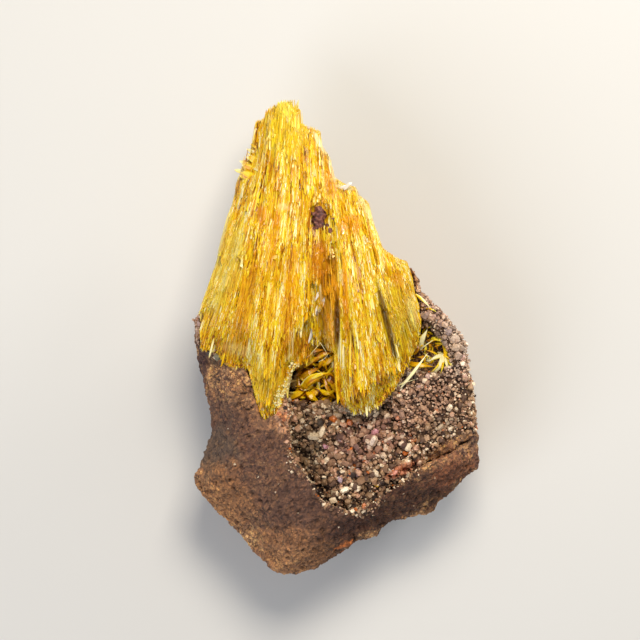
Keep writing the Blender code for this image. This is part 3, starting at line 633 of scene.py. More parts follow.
def needleTree():
    # scatters needles over a surface along its own "along" direction, each with a tone of its own
    ranges = ("Shortest", "Longest", "Thinnest", "Thickest", "Lowest", "Highest", "Sway")
    tree, given, normal, raised = startTree(
        "needles along the grain", 0, [("Needle", "Object")] + [(name, "Float") for name in ranges])
    backSway = addNode(tree, "ShaderNodeMath", {0: given["Sway"], 1: -1.0}, operation="MULTIPLY")
    pitch, sway, roll, length, width, tone = drawValues(tree, given, [
        (11, given["Lowest"], given["Highest"]), (12, backSway, given["Sway"]), (13, 0.0, math.tau),
        (14, given["Shortest"], given["Longest"]), (15, given["Thinnest"], given["Thickest"]),
        (16, 0.0, 1.0)])

    along = addNode(tree, "GeometryNodeInputNamedAttribute", {"Name": "along"}, data_type="FLOAT_VECTOR")
    turned = addNode(tree, "FunctionNodeAxesToRotation", {0: along, 1: normal},
                     primary_axis="Z", secondary_axis="X")
    for angles in ({0: sway, 1: pitch}, {2: roll}):
        bend = addNode(tree, "ShaderNodeCombineXYZ", angles)
        bend = addNode(tree, "FunctionNodeEulerToRotation", {0: bend})
        turned = addNode(tree, "FunctionNodeRotateRotation", {0: turned, 1: bend}, rotation_space="LOCAL")

    size = addNode(tree, "ShaderNodeCombineXYZ", {0: width, 1: width, 2: length})
    shape = addNode(tree, "GeometryNodeObjectInfo", {"Object": given["Needle"], "As Instance": True})
    needles = addNode(tree, "GeometryNodeInstanceOnPoints", {
        "Points": raised, "Instance": shape.outputs["Geometry"], "Rotation": turned, "Scale": size})
    endOn = addNode(tree, "GeometryNodeInputNamedAttribute", {"Name": "endOn"}, data_type="FLOAT")
    shift = addNode(tree, "ShaderNodeMath", {0: endOn, 1: -spray["drawnIn"] * mm}, operation="MULTIPLY")
    needles = addNode(tree, "GeometryNodeTranslateInstances", {
        "Instances": needles, "Translation": addNode(tree, "ShaderNodeCombineXYZ", {2: shift}),
        "Local Space": True})
    return endTree(tree, given, needles, tone)


def grow(ground, tree, name, inputs):
    # runs a tree on a surface and returns what it makes as a plain mesh
    piece = newObject(name, ground.data.copy())
    modifier = piece.modifiers.new("growth", "NODES")
    modifier.node_group = tree
    for item in tree.interface.items_tree:
        if item.in_out == "INPUT" and item.name in inputs:
            modifier[item.identifier] = inputs[item.name]
    return bakeModifiers(piece)


def legranditeMaterial(name, depth):
    # legrandite, as grown: glassy yellow needles, amber where the light has come through many of them
    material, tree, shader = newMaterial(name, Roughness=0.28, IOR=1.68, Specular_IOR_Level=0.22,
                                         Transmission_Weight=0.15)
    place = addNode(tree, "ShaderNodeTexCoord").outputs["Object"]
    tone = addNode(tree, "ShaderNodeAttribute", attribute_name="tone").outputs["Fac"]
    tone = addNode(tree, "ShaderNodeMath", {0: tone, 1: 0.66, 2: 0.2 - depth}, operation="MULTIPLY_ADD")
    grain = addNode(tree, "ShaderNodeAttribute", attribute_name="grain").outputs["Vector"]
    for wide, long, seed, weight in spray["streaks"]:
        drawn = addNode(tree, "ShaderNodeVectorMath", {0: grain, 1: (1 / wide, 1 / long, 0.5 / wide)},
                        operation="MULTIPLY")
        drawn = addNode(tree, "ShaderNodeVectorMath", {0: drawn, 1: (seed, seed, seed)}, operation="ADD")
        streak = addNode(tree, "ShaderNodeTexNoise", {"Vector": drawn, "Scale": 1.0, "Detail": 2.0})
        streak = addNode(tree, "ShaderNodeMath", {0: streak.outputs["Fac"], 1: 0.5}, operation="SUBTRACT")
        tone = addNode(tree, "ShaderNodeMath", {0: streak, 1: weight, 2: tone}, operation="MULTIPLY_ADD")
    # the ramp's cream top, reached by the palest needles and streaks, is partly pale needles, partly painted
    # glints and specular streaks
    ramp = addNode(tree, "ShaderNodeValToRGB", {"Fac": tone}, stops=[
        (0.0, "#6E3A02"), (0.12, "#BC7202"), (0.32, "#E6A404"), (0.54, "#F0C406"), (0.79, "#F8E028"),
        (0.95, "#FFF6BC")])
    colour = paintZones(tree, ramp.outputs["Color"], place, spray["zones"])
    # painted highlight: mixed towards cream by the rim value, for light through the thin edges
    rim = addNode(tree, "ShaderNodeAttribute", attribute_name="rim").outputs["Fac"]
    rim = addNode(tree, "ShaderNodeMath", {0: rim, 1: 0.3}, operation="MULTIPLY")
    colour = addNode(tree, "ShaderNodeMix", {0: rim, 6: colour, 7: linear("#FFF0A8")},
                     data_type="RGBA").outputs[2]
    tree.links.new(colour, shader.inputs["Base Color"])
    return material


def buildSpray():
    core = buildCore()
    template = needleShape()
    tree = needleTree()
    finish = legranditeMaterial("legrandite needles, glassy", 0.0)
    for i, (name, (density, lengths, widths, pitches, heights)) in enumerate(spray["layers"].items()):
        piece = grow(core, tree, f"spray_{name}", {
            "Needle": template, "Density": density / mm ** 2, "Shortest": lengths[0], "Longest": lengths[1],
            "Thinnest": widths[0], "Thickest": widths[1], "Lowest": math.radians(pitches[0]),
            "Highest": math.radians(pitches[1]), "Sway": math.radians(spray["sway"]),
            "Deepest": heights[0] * mm, "Proudest": heights[1] * mm, "Seed": spray["seed"] + i,
            "Finish": finish})
        comb(piece, core)
        finishPiece(piece, finish)
    bpy.data.objects.remove(template)
    # the core is drawn darker than the needles: painted shade between the needles over it
    fibres = legranditeMaterial("legrandite, massed fibres", 0.1)
    finishPiece(core, fibres, ["legrandite_spray"])
    return core


sprayCore = buildSpray()
print("spray grown")

# The druse: a crust of small crystals over the hollow's floor, coarse at the lower left and fine above

druse = {
    "voxel": 0.26,
    "coarseAt": (300.0, 500.0),  # pixels: the grains are coarsest here
    "fineAt": (455.0, 345.0),  # and finest here
    "sunk": (0.15, 0.75),  # how far the ground, painted dark as shade, lies under the grains, where fine and where coarse
    "waves": (1.6, 0.9),  # size of the waves in that, and how strong they are
    "sownAbove": 13.0,  # height above the floor from which grains lie on the crust
    "shapes": 8,
    "layers": {  # grains per square mm, their width where coarse and where fine, and height off the ground
        "knobs": (1.1, (0.8, 1.5), (0.45, 0.9), (0.0, 0.6)),
        "grains": (3.4, (0.4, 0.9), (0.28, 0.6), (-0.1, 0.5)),
        "crumbs": (8.0, (0.16, 0.4), (0.16, 0.36), (0.0, 0.55)),
    },
    "spilt": {  # the same for the rock beside it
        "spill": (3.4, (0.4, 0.9), (0.28, 0.6), (-0.15, 0.2)),
        "spill_crumbs": (8.0, (0.16, 0.4), (0.16, 0.36), (-0.05, 0.12)),
    },
    "seed": 31,
    "edges": [  # grains lie over the rock along these lines of pixels: the hollow's rim, and the spray's foot
        ((288, 402), (294, 414), (292, 439), (294, 465), (306, 470), (316, 481), (320, 496), (334, 504),
         (358, 511), (369, 510), (379, 496), (390, 484), (407, 476), (416, 468)),
        ((474, 426), (473, 404), (470, 380), (462, 345), (440, 312), (420, 288)),
        ((290, 404), (312, 404), (336, 404), (344, 412), (356, 418), (370, 414), (384, 404), (396, 390),
         (404, 374), (414, 364), (440, 370), (456, 366)),
        ((200, 308), (199, 322), (201, 336), (203, 346), (216, 352)),
    ],
    "spill": (0.3, 1.1),  # mm from its edge within which all, and past which no grains lie on the rock
    "rimAbove": 11.5,  # height above the floor from which they do
    "rimShare": 0.9,  # how many of them, against the crust
    "hollows": [((290, 346), (340, 402)), ((404, 316), (456, 372))],  # corner pixels of the two dark hollows
    "hollowHeights": (8.5, 14.5),
    "hollowShare": 0.7,
    "spiltCoarse": 0.3,  # how coarse the grains on the rock are, from 0 to 1
    "gaps": [  # lines of pixels where the crust is open down to its ground, painted dark as shade
        ((301, 450), (303, 466)), ((324, 487), (326, 494)), ((361, 484), (364, 490)),
        ((369, 449), (381, 453)), ((396, 446), (401, 450)), ((382, 408), (386, 413)),
        ((334, 466), (337, 471)), ((310, 428), (312, 434)), ((352, 462), (356, 466)),
        ((430, 398), (436, 402)), ((445, 385), (447, 391)), ((392, 420), (396, 424)),
    ],
    "gapEdge": (0.3, 0.55),  # mm from such a line within which there are no grains, and past which all
    "gapDepth": 0.9,
    "gapFloor": (0.2, 0.7),  # mm from the line within which the ground is at that depth, and past which level
    # the rock shows under this line
    "bareBelow": ((402, 484), (412, 469), (428, 457), (444, 441), (458, 435), (486, 430)),
    "bareBand": (-0.3, 0.5),  # mm under the line from which it starts to show, and shows fully
    "bareKnobs": (0.9, 0.35, 0.22),  # size and height of that rock's knobs, and how far it stands proud
    "zones": [
        ((372, 440), (7.0, 3.6), 20, "#A67462", 0.4), ((425, 400), (6.0, 3.0), 30, "#DCAE90", 0.4),
        ((452, 350), (4.0, 5.0), 0, "#DCC0AA", 0.45), ((430, 305), (4.0, 3.0), -40, "#C4A08C", 0.5),
        ((352, 410), (5.0, 1.4), 0, "#B4A284", 0.5), ((308, 440), (2.4, 5.0), 0, "#5E5034", 0.4),
        ((403, 470), (3.0, 0.9), 25, "#C0663C", 0.7), ((316, 372), (4.0, 3.6), 0, "#A8860E", 0.75),
        ((424, 348), (3.4, 3.4), 0, "#4E3A18", 0.6), ((200, 325), (1.6, 3.6), 0, "#D2AE98", 0.6),
        ((440, 425), (4.0, 1.4), 28, "#8C7058", 0.5),
    ],
    "marked": [  # pixel, width, length, turn and colour of grains that stand out
        ((352, 450), 0.75, 1.25, -60, "#D8701E"), ((413, 441), 0.7, 1.5, -70, "#C8661C"),
        ((375, 433), 0.95, 1.3, -30, "#C98A8E"), ((340, 480), 0.8, 1.25, 10, "#B49AA0"),
        ((357, 473), 0.8, 1.6, -8, "#8E7276"), ((393, 435), 0.6, 0.7, 0, "#C4C040"),
        ((335, 493), 1.25, 1.3, 0, "#A38C6C"), ((331, 503), 1.0, 1.2, 40, "#B8A08C"),
        ((364, 506), 0.6, 0.9, 10, "#C0703C"), ((377, 486), 0.8, 0.6, 0, "#CC9A34"),
        ((395, 473), 0.7, 1.1, -50, "#D0866E"), ((404, 469), 0.6, 1.0, -60, "#C8604C"),
        ((326, 446), 0.9, 1.0, 20, "#B4787C"), ((340, 441), 0.9, 0.9, 0, "#B07C68"),
        ((330, 402), 0.9, 1.5, 80, "#B49C80"), ((311, 432), 0.9, 1.0, 0, "#7C5C3C"),
        ((455, 340), 1.5, 1.6, 30, "#C4AA94"), ((450, 350), 1.6, 1.7, 0, "#C0A48C"),
        ((462, 347), 1.7, 1.5, 0, "#CAB098"), ((459, 356), 1.3, 1.5, 60, "#BA9C86"),
        ((464, 349), 1.2, 1.2, 0, "#BEA28C"), ((456, 348), 1.3, 1.2, 20, "#C4A88E"),
        ((217, 357), 1.1, 1.4, 30, "#7C745A"), ((209, 353), 0.9, 1.1, 0, "#4A3A34"),
        ((222, 363), 0.8, 1.0, 60, "#3C2E26"), ((232, 365), 0.8, 1.2, 70, "#7E6850"),
        ((463, 358), 0.9, 1.0, 0, "#BE9280"), ((445, 337), 0.8, 0.9, 0, "#B0927C"),
        ((448, 331), 1.1, 1.6, 35, "#B09890"), ((442, 324), 1.0, 1.4, 35, "#A88C84"),
        ((425, 314), 1.4, 1.4, 60, "#B29280"), ((433, 317), 1.2, 1.0, 0, "#B48E7A"),
        ((411, 376), 1.0, 1.4, 70, "#BAA696"), ((419, 374), 1.2, 1.0, 0, "#BFA894"),
        ((428, 377), 0.9, 1.1, 30, "#C2A090"), ((431, 305), 0.7, 1.2, 40, "#B88C78"),
        ((420, 386), 0.9, 1.2, 70, "#C8A89C"), ((405, 374), 0.9, 1.2, 60, "#C0A490"),
        ((465, 378), 0.9, 1.1, 0, "#BC937C"), ((470, 404), 0.8, 1.0, 0, "#C29C80"),
        ((368, 404), 0.9, 1.1, 50, "#BBA592"), ((200, 314), 0.8, 1.0, 0, "#D8BCA8"),
        ((199, 323), 0.8, 1.1, 0, "#CDA898"), ((201, 333), 0.7, 0.9, 0, "#C9A08E"),
    ],
}


def grainShapes():
    # a few crystals to scatter: short six-sided prisms with blunt points, and rounded lumps
    rng = random.Random(41)
    made = bpy.data.collections.new("grain shapes")
    scene.collection.children.link(made)
    for number in range(druse["shapes"]):
        bm = bmesh.new()
        if number % 4 == 0:
            long = rng.uniform(0.5, 0.75)
            for height, size in ((-long, 0.22), (-0.65 * long, 0.42), (0.65 * long, 0.42), (long, 0.12)):
                for side in range(6):
                    turn = math.tau * side / 6
                    bm.verts.new((size * math.cos(turn), size * math.sin(turn) * 0.85, height))
        else:
            wide = Vector((1.0, rng.uniform(0.75, 1.0), rng.uniform(0.7, 0.95)))
            for _ in range(18):
                way = Vector((rng.gauss(0, 1), rng.gauss(0, 1), rng.gauss(0, 1))).normalized()
                bm.verts.new(way * rng.uniform(0.46, 0.52) * wide)
        hull = bmesh.ops.convex_hull(bm, input=bm.verts)
        loose = {v for v in hull["geom_interior"] + hull["geom_unused"] if isinstance(v, bmesh.types.BMVert)}
        bmesh.ops.delete(bm, geom=list(loose), context="VERTS")
        bm.transform(Matrix.Scale(mm, 4))
        made.objects.link(bpy.data.objects.new(f"grain {number}", takeMesh(bm, f"grain {number}")))
    return made


def grainTree():
    # scatters grains of mixed shape over a surface, coarser where its "coarse" value is high
    tree, given, _, raised = startTree("grains over a surface", 1, [("Shapes", "Collection")] + [
        (name, "Float") for name in ("Coarse Least", "Coarse Most", "Fine Least", "Fine Most")])
    coarse = addNode(tree, "GeometryNodeInputNamedAttribute", {"Name": "coarse"}, data_type="FLOAT")
    least = addNode(tree, "ShaderNodeMix", {0: coarse, 2: given["Fine Least"], 3: given["Coarse Least"]})
    most = addNode(tree, "ShaderNodeMix", {0: coarse, 2: given["Fine Most"], 3: given["Coarse Most"]})
    size, tone = drawValues(tree, given, [(3, least, most), (4, 0.0, 1.0)])
    seed = addNode(tree, "FunctionNodeIntegerMath", {0: given["Seed"], 1: 2}, operation="ADD")
    turn = addNode(tree, "FunctionNodeRandomValue", {
        0: (0.0, 0.0, 0.0), 1: (math.tau, math.tau, math.tau), "Seed": seed}, data_type="FLOAT_VECTOR")
    shapes = addNode(tree, "GeometryNodeCollectionInfo", {
        "Collection": given["Shapes"], "Separate Children": True, "Reset Children": True})
    grains = addNode(tree, "GeometryNodeInstanceOnPoints", {
        "Points": raised, "Instance": shapes, "Pick Instance": True,
        "Rotation": addNode(tree, "FunctionNodeEulerToRotation", {0: turn}), "Scale": size})
    return endTree(tree, given, grains, tone)


def growGrains(ground, name, layer, seed, finish):
    density, (coarseLeast, coarseMost), (fineLeast, fineMost), (deepest, proudest) = layer
    return grow(ground, grainGrowth, name, {
        "Shapes": grainSet, "Density": density / mm ** 2, "Coarse Least": coarseLeast,
        "Coarse Most": coarseMost, "Fine Least": fineLeast, "Fine Most": fineMost,
        "Deepest": deepest * mm, "Proudest": proudest * mm, "Seed": seed, "Finish": finish})


def druseMaterial():
    # small quartz and carbonate crystals: beige, pink and brown, some dull and some glassy
    material, tree, shader = newMaterial("druse crystals", IOR=1.54)
    place = addNode(tree, "ShaderNodeTexCoord").outputs["Object"]
    tone = addNode(tree, "ShaderNodeAttribute", attribute_name="tone").outputs["Fac"]
    ramp = addNode(tree, "ShaderNodeValToRGB", {"Fac": tone}, stops=[
        (0.0, "#2A190E"), (0.08, "#5E422E"), (0.25, "#8A6648"), (0.44, "#B08A64"), (0.60, "#CC9C7C"),
        (0.70, "#9A7A5A"), (0.80, "#EAD2B0"), (0.98, "#BE6424")])
    ramp.color_ramp.interpolation = "CONSTANT"
    grit = addNode(tree, "ShaderNodeTexNoise", {"Vector": place, "Scale": 1 / (0.2 * mm), "Detail": 3.0})
    # darker where the fine noise is low, where the bump also sinks
    darkWhereGritLow = addNode(tree, "ShaderNodeMapRange", {
        "Value": grit.outputs["Fac"], "From Min": 0.5, "From Max": 0.3, "To Max": 0.6})
    colour = paintZones(tree, ramp.outputs["Color"], place, druse["zones"])
    colour = addNode(tree, "ShaderNodeMix", {0: darkWhereGritLow, 6: colour, 7: linear("#4A3020")},
                     data_type="RGBA").outputs[2]
    tree.links.new(colour, shader.inputs["Base Color"])
    rough = addNode(tree, "ShaderNodeMapRange", {
        "Value": tone, "From Min": 0.3, "From Max": 0.9, "To Min": 0.7, "To Max": 0.25})
    tree.links.new(rough.outputs[0], shader.inputs["Roughness"])
    bump = addNode(tree, "ShaderNodeBump", {
        "Height": grit.outputs["Fac"], "Strength": 0.5, "Distance": 0.05 * mm})
    tree.links.new(bump.outputs[0], shader.inputs["Normal"])
    return material


def coarseness(places):
    coarseAt, fineAt = (np.array(fromPhoto(*druse[end])) for end in ("coarseAt", "fineAt"))
    run = fineAt - coarseAt
    share = ((places[:, :2] - coarseAt) @ run) / (run @ run)
    return 1.0 - smoothStep(0.1, 0.9, share)


def spillOver(piece):
    # a copy of the rock's surface marked where grains lie: along the druse's edge and in the dark hollows
    ground = newObject("spill ground", piece.data.copy())
    places, normals = readPoints(ground.data)
    x, y, z = places.T
    away = np.min([awayFrom(places, edge) for edge in druse["edges"]], axis=0)
    cover = np.where(z > druse["rimAbove"], druse["rimShare"], 0.0)
    cover *= 1.0 - smoothStep(*druse["spill"], away)
    lowest, highest = druse["hollowHeights"]
    for corners in druse["hollows"]:
        (left, top), (right, bottom) = (fromPhoto(*corner) for corner in corners)
        inside = (x > left) & (x < right) & (y > bottom) & (y < top) & (z > lowest) & (z < highest)
        cover = np.where(inside, druse["hollowShare"], cover)
    writeAttribute(ground.data, "cover", np.where(normals[:, 2] > -0.3, cover, 0.0))
    writeAttribute(ground.data, "coarse", np.full(len(places), druse["spiltCoarse"]))
    return ground


def markGrains(grounds):
    # sets the marked grains on whatever is highest there, each in its own colour
    surfaces = [surfaceOf(ground) for ground in grounds]
    lumps = [shape.data for i, shape in enumerate(grainSet.objects) if i % 4]
    bm = bmesh.new()
    tintLayer = bm.verts.layers.float_color.new("tint")
    for i, (pixel, wide, long, turn, colour) in enumerate(druse["marked"]):
        tops = [topUnder(surface, pixel) for surface in surfaces]
        spot = max((top for top in tops if top), key=lambda top: top.z)
        before = len(bm.verts)
        bm.from_mesh(lumps[i % len(lumps)])
        bm.verts.ensure_lookup_table()
        place = Matrix.Translation(spot + Vector((0.0, 0.0, 0.3 * wide)) * mm)
        place @= Matrix.Rotation(math.radians(turn), 4, "Z") @ Matrix.Diagonal((wide, long, 0.9 * wide, 1.0))
        for vert in bm.verts[before:]:
            vert.co = place @ vert.co
            vert[tintLayer] = linear(colour)
    return newObject("druse_marked", takeMesh(bm, "druse_marked"))


def tintedMaterial():
    # single crystals that stand out of the druse: waxy, with a little light inside
    material, tree, shader = newMaterial("druse crystals, single", Roughness=0.35, IOR=1.54)
    place = addNode(tree, "ShaderNodeTexCoord").outputs["Object"]
    tint = addNode(tree, "ShaderNodeAttribute", attribute_name="tint").outputs["Color"]
    grit = addNode(tree, "ShaderNodeTexNoise", {"Vector": place, "Scale": 1 / (0.25 * mm), "Detail": 4.0})
    shade = addNode(tree, "ShaderNodeMapRange", {
        "Value": grit.outputs["Fac"], "From Min": 0.3, "From Max": 0.65, "To Min": 0.55, "To Max": 1.1})
    colour = addNode(tree, "ShaderNodeVectorMath", {0: tint, "Scale": shade}, operation="SCALE")
    tree.links.new(colour.outputs[0], shader.inputs["Base Color"])
    bump = addNode(tree, "ShaderNodeBump", {
        "Height": grit.outputs["Fac"], "Strength": 0.5, "Distance": 0.06 * mm})
    tree.links.new(bump.outputs[0], shader.inputs["Normal"])
    return material


def buildBed():
    # the crust's ground: sunk under the grains and painted dark there as shade, and bare rock along its lower
    # right edge
    bed = remesh(mergedCopy("druse_crust", "druse_bed"), druse["voxel"])
    places, normals = readPoints(bed.data)
    coarse = coarseness(places)
    line = np.array([fromPhoto(*pixel) for pixel in druse["bareBelow"]])
    below = np.interp(places[:, 0], line[:, 0], line[:, 1]) - places[:, 1]
    bare = np.where(places[:, 0] > line[0, 0], smoothStep(*druse["bareBand"], below), 0.0)
    sown = (normals[:, 2] > -0.2) & (places[:, 2] > druse["sownAbove"])
    closed = np.where(sown, np.clip(1.0 - 1.6 * bare, 0.0, 1.0), 0.0)
    away = np.min([awayFrom(places, gap) for gap in druse["gaps"]], axis=0)
    writeAttribute(bed.data, "coarse", coarse)
    writeAttribute(bed.data, "cover", closed * smoothStep(*druse["gapEdge"], away))
    # painted shade: the ground is darkened wherever it is not bare rock, for the shade under and between the
    # grains
    writeAttribute(bed.data, "sunk", 1.0 - bare)

    (fineSunk, coarseSunk), (waveSize, waveHeight) = druse["sunk"], druse["waves"]
    waves = np.array([0.5 + waveHeight * noise.noise(Vector(place) / waveSize) for place in places])
    down = (fineSunk + (coarseSunk - fineSunk) * coarse) * waves
    down += druse["gapDepth"] * (1.0 - smoothStep(*druse["gapFloor"], away))
    places[:, 2] -= np.where(normals[:, 2] > 0.1, down * (1.0 - bare), 0.0)
    knobSize, knobHeight, proud = druse["bareKnobs"]
    knobs = np.array([noise.turbulence(Vector(place) / knobSize, 3, False) for place in places])
    writePoints(bed.data, places + normals * (bare * (proud + knobHeight * (knobs - 0.5)))[:, None])
    return bed


def buildDruse():
    bed = buildBed()
    ground = spillOver(rockPiece)
    finish = druseMaterial()
    beds = [(name, bed, layer) for name, layer in druse["layers"].items()]
    beds += [(name, ground, layer) for name, layer in druse["spilt"].items()]
    for i, (name, under, layer) in enumerate(beds):
        finishPiece(growGrains(under, f"druse_{name}", layer, druse["seed"] + i, finish), finish)
    finishPiece(markGrains([bed, rockPiece]), tintedMaterial())
    bpy.data.objects.remove(ground)
    finishPiece(bed, limoniteMaterial("limonite, ground of the druse"), ["druse_crust"])


grainSet = grainShapes()
grainGrowth = grainTree()
buildDruse()
print("druse laid")

# Broken needle ends, like sugar, down the inner edge of the left foot

sugar = {
    "pixels": ((295, 368), (290, 380), (284, 390), (279, 402)),
    "reach": 1.15,  # mm from that line
    "above": 14.0,  # height above the floor from which they lie on the foot
    "layer": (16.0, (0.15, 0.4), (0.15, 0.4), (-0.05, 0.2)),  # as the druse's layers
    "seed": 77,
}


def buildSugar():
    ground = newObject("sugar ground", sprayCore.data.copy())
    places = readPoints(ground.data)[0]
    near = 1.0 - smoothStep(0.5 * sugar["reach"], sugar["reach"], awayFrom(places, sugar["pixels"]))
    writeAttribute(ground.data, "cover", np.where(places[:, 2] > sugar["above"], near, 0.0))
    writeAttribute(ground.data, "coarse", np.ones(len(places)))
    finish = legranditeMaterial("legrandite, broken needle ends", -0.5)
    finishPiece(growGrains(ground, "foot_sugar", sugar["layer"], sugar["seed"], finish), finish)
    bpy.data.objects.remove(ground)


buildSugar()
for spare in list(grainSet.objects):
    bpy.data.objects.remove(spare)
bpy.data.collections.remove(grainSet)
print("needle ends laid")

# Loose blades in the two hollows, hairs across them, and single crystals: routes are pixels and heights in mm

blades = {  # rows: width, tone, then pixels and heights
    "cavern_cluster": {
        "replaces": ["cavern_blades"], "seed": 5, "shade": 0.2, "big": [
            (1.25, 0.75, (302, 393, 12.2), (307, 384, 13.5), (317, 377, 14.1), (334, 373, 13.4)),
            (0.5, 0.95, (312, 379, 14.2), (320, 375, 14.5), (328, 373, 14.3)),
            (0.9, 0.25, (301, 358, 13.4), (312, 352, 14.0), (324, 350, 13.8)),
            (0.8, 0.35, (312, 362, 13.0), (322, 355, 13.6), (334, 352, 13.4)),
            (0.7, 0.3, (323, 366, 13.0), (331, 360, 13.6), (337, 352, 13.6)),
            (0.6, 0.45, (304, 368, 12.8), (314, 360, 13.4), (325, 356, 13.6)),
            (1.5, 0.35, (322, 376, 12.4), (332, 381, 12.8), (339, 391, 12.4)),
            (1.2, 0.3, (328, 372, 12.2), (334, 384, 12.8), (338, 397, 12.4)),
            (1.5, 0.25, (294, 388, 11.6), (302, 379, 12.2), (313, 371, 12.2)),
            (1.1, 0.3, (298, 381, 12.0), (307, 374, 12.6), (318, 370, 12.4)),
            (1.0, 0.6, (289, 399, 12.2), (297, 395, 12.8), (305, 391, 12.4)),
            (1.1, 0.45, (310, 398, 12.0), (315, 393, 12.6), (321, 389, 12.4)),
            (1.0, 0.6, (306, 391, 12.2), (311, 397, 12.9), (319, 403, 12.4)),
            (0.6, 0.5, (294, 398, 11.6), (299, 389, 12.5), (298, 378, 12.4)),
            (0.7, 0.8, (320, 391, 12.6), (328, 394, 13.1), (336, 390, 12.6)),
            (0.55, 0.4, (291, 386, 11.4), (300, 377, 12.4), (312, 371, 12.6), (323, 367, 12.0)),
            (0.5, 0.5, (335, 399, 12.4), (327, 387, 13.2), (323, 372, 12.8)),
            (0.5, 0.6, (295, 377, 11.6), (307, 363, 12.5), (318, 357, 12.2)),
            (0.6, 0.75, (319, 368, 12.6), (324, 361, 13.3), (327, 372, 12.8)),
            (0.8, 0.35, (331, 372, 12.4), (336, 364, 13.0), (339, 358, 12.8)),
            (0.4, 0.7, (335, 366, 12.6), (328, 373, 13.2), (326, 382, 12.8)),
        ],
        "small": {"count": 170, "corners": ((294, 352), (336, 400)), "heights": (10.4, 12.8),
                  "lengths": (0.8, 2.2), "widths": (0.15, 0.5)},
    },
    "pocket_cluster": {
        "replaces": ["pocket_blades"], "seed": 9, "shade": -0.05, "big": [
            (0.75, 0.4, (404, 362, 12.8), (414, 365, 13.4), (424, 366, 13.6), (434, 367, 13.2)),
            (0.6, 0.6, (431, 342, 13.0), (436, 339, 13.8), (448, 343, 13.6)),
            (0.8, 0.98, (444, 356, 13.8), (441, 364, 14.4), (433, 375, 14.2)),
            (0.3, 0.8, (443, 357, 14.0), (438, 366, 14.6), (430, 374, 14.4)),
            (0.55, 0.9, (444, 355, 13.8), (437, 357, 14.2), (428, 362, 13.8)),
            (0.4, 0.7, (445, 356, 13.8), (447, 364, 14.5), (448, 372, 14.3)),
            (0.32, 0.6, (443, 357, 13.8), (443, 366, 14.6), (441, 374, 14.4)),
            (0.4, 0.85, (446, 357, 13.6), (451, 364, 14.4), (456, 372, 14.3)),
            (0.28, 0.5, (443, 355, 13.8), (449, 358, 14.2), (455, 363, 14.0)),
            (0.26, 0.5, (440, 356, 13.6), (433, 352, 14.0), (426, 350, 13.8)),
            (0.6, 0.45, (444, 344, 13.2), (446, 352, 13.9), (444, 361, 13.8)),
            (0.16, 0.9, (423, 348, 13.4), (428, 344, 13.8), (434, 340, 13.8)),
            (0.75, 0.98, (422, 350, 12.8), (423, 340, 13.7), (428, 329, 13.8)),
            (0.6, 0.15, (415, 355, 12.6), (418, 349, 13.1), (419, 343, 13.0)),
            (0.4, 0.85, (416, 294, 14.4), (423, 300, 15.1), (431, 308, 15.0)),
            (0.4, 0.3, (428, 328, 13.4), (432, 326, 13.9), (438, 326, 13.8)),
            (0.3, 0.6, (421, 308, 13.8), (431, 309, 14.6), (437, 312, 14.6)),
            (0.3, 0.6, (424, 322, 13.2), (430, 316, 14.0), (437, 314, 14.4)),
        ],
        "small": {"count": 70, "corners": ((406, 332), (444, 366)), "heights": (12.0, 13.4),
                  "lengths": (0.6, 1.6), "widths": (0.12, 0.35)},
    },
    "hairs": {
        "replaces": [], "shade": -0.4, "big": [
            (0.10, 0.9, (291, 371, 16.2), (301, 362, 16.6), (311, 354, 16.8)),
            (0.07, 0.8, (293, 367, 16.0), (300, 360, 16.5), (307, 355, 16.7)),
            (0.07, 0.8, (310, 355, 16.6), (316, 348, 16.8), (321, 342, 16.4)),
            (0.06, 0.7, (318, 340, 16.2), (325, 350, 16.4), (330, 362, 15.8)),
            (0.06, 0.7, (318, 362, 16.0), (324, 359, 16.2), (329, 353, 16.2)),
            (0.42, 0.9, (401, 388, 15.4), (414, 372, 16.2), (428, 353, 15.6)),
            (0.10, 0.8, (388, 392, 15.4), (402, 384, 16.0), (417, 379, 15.4)),
        ],
    },
}
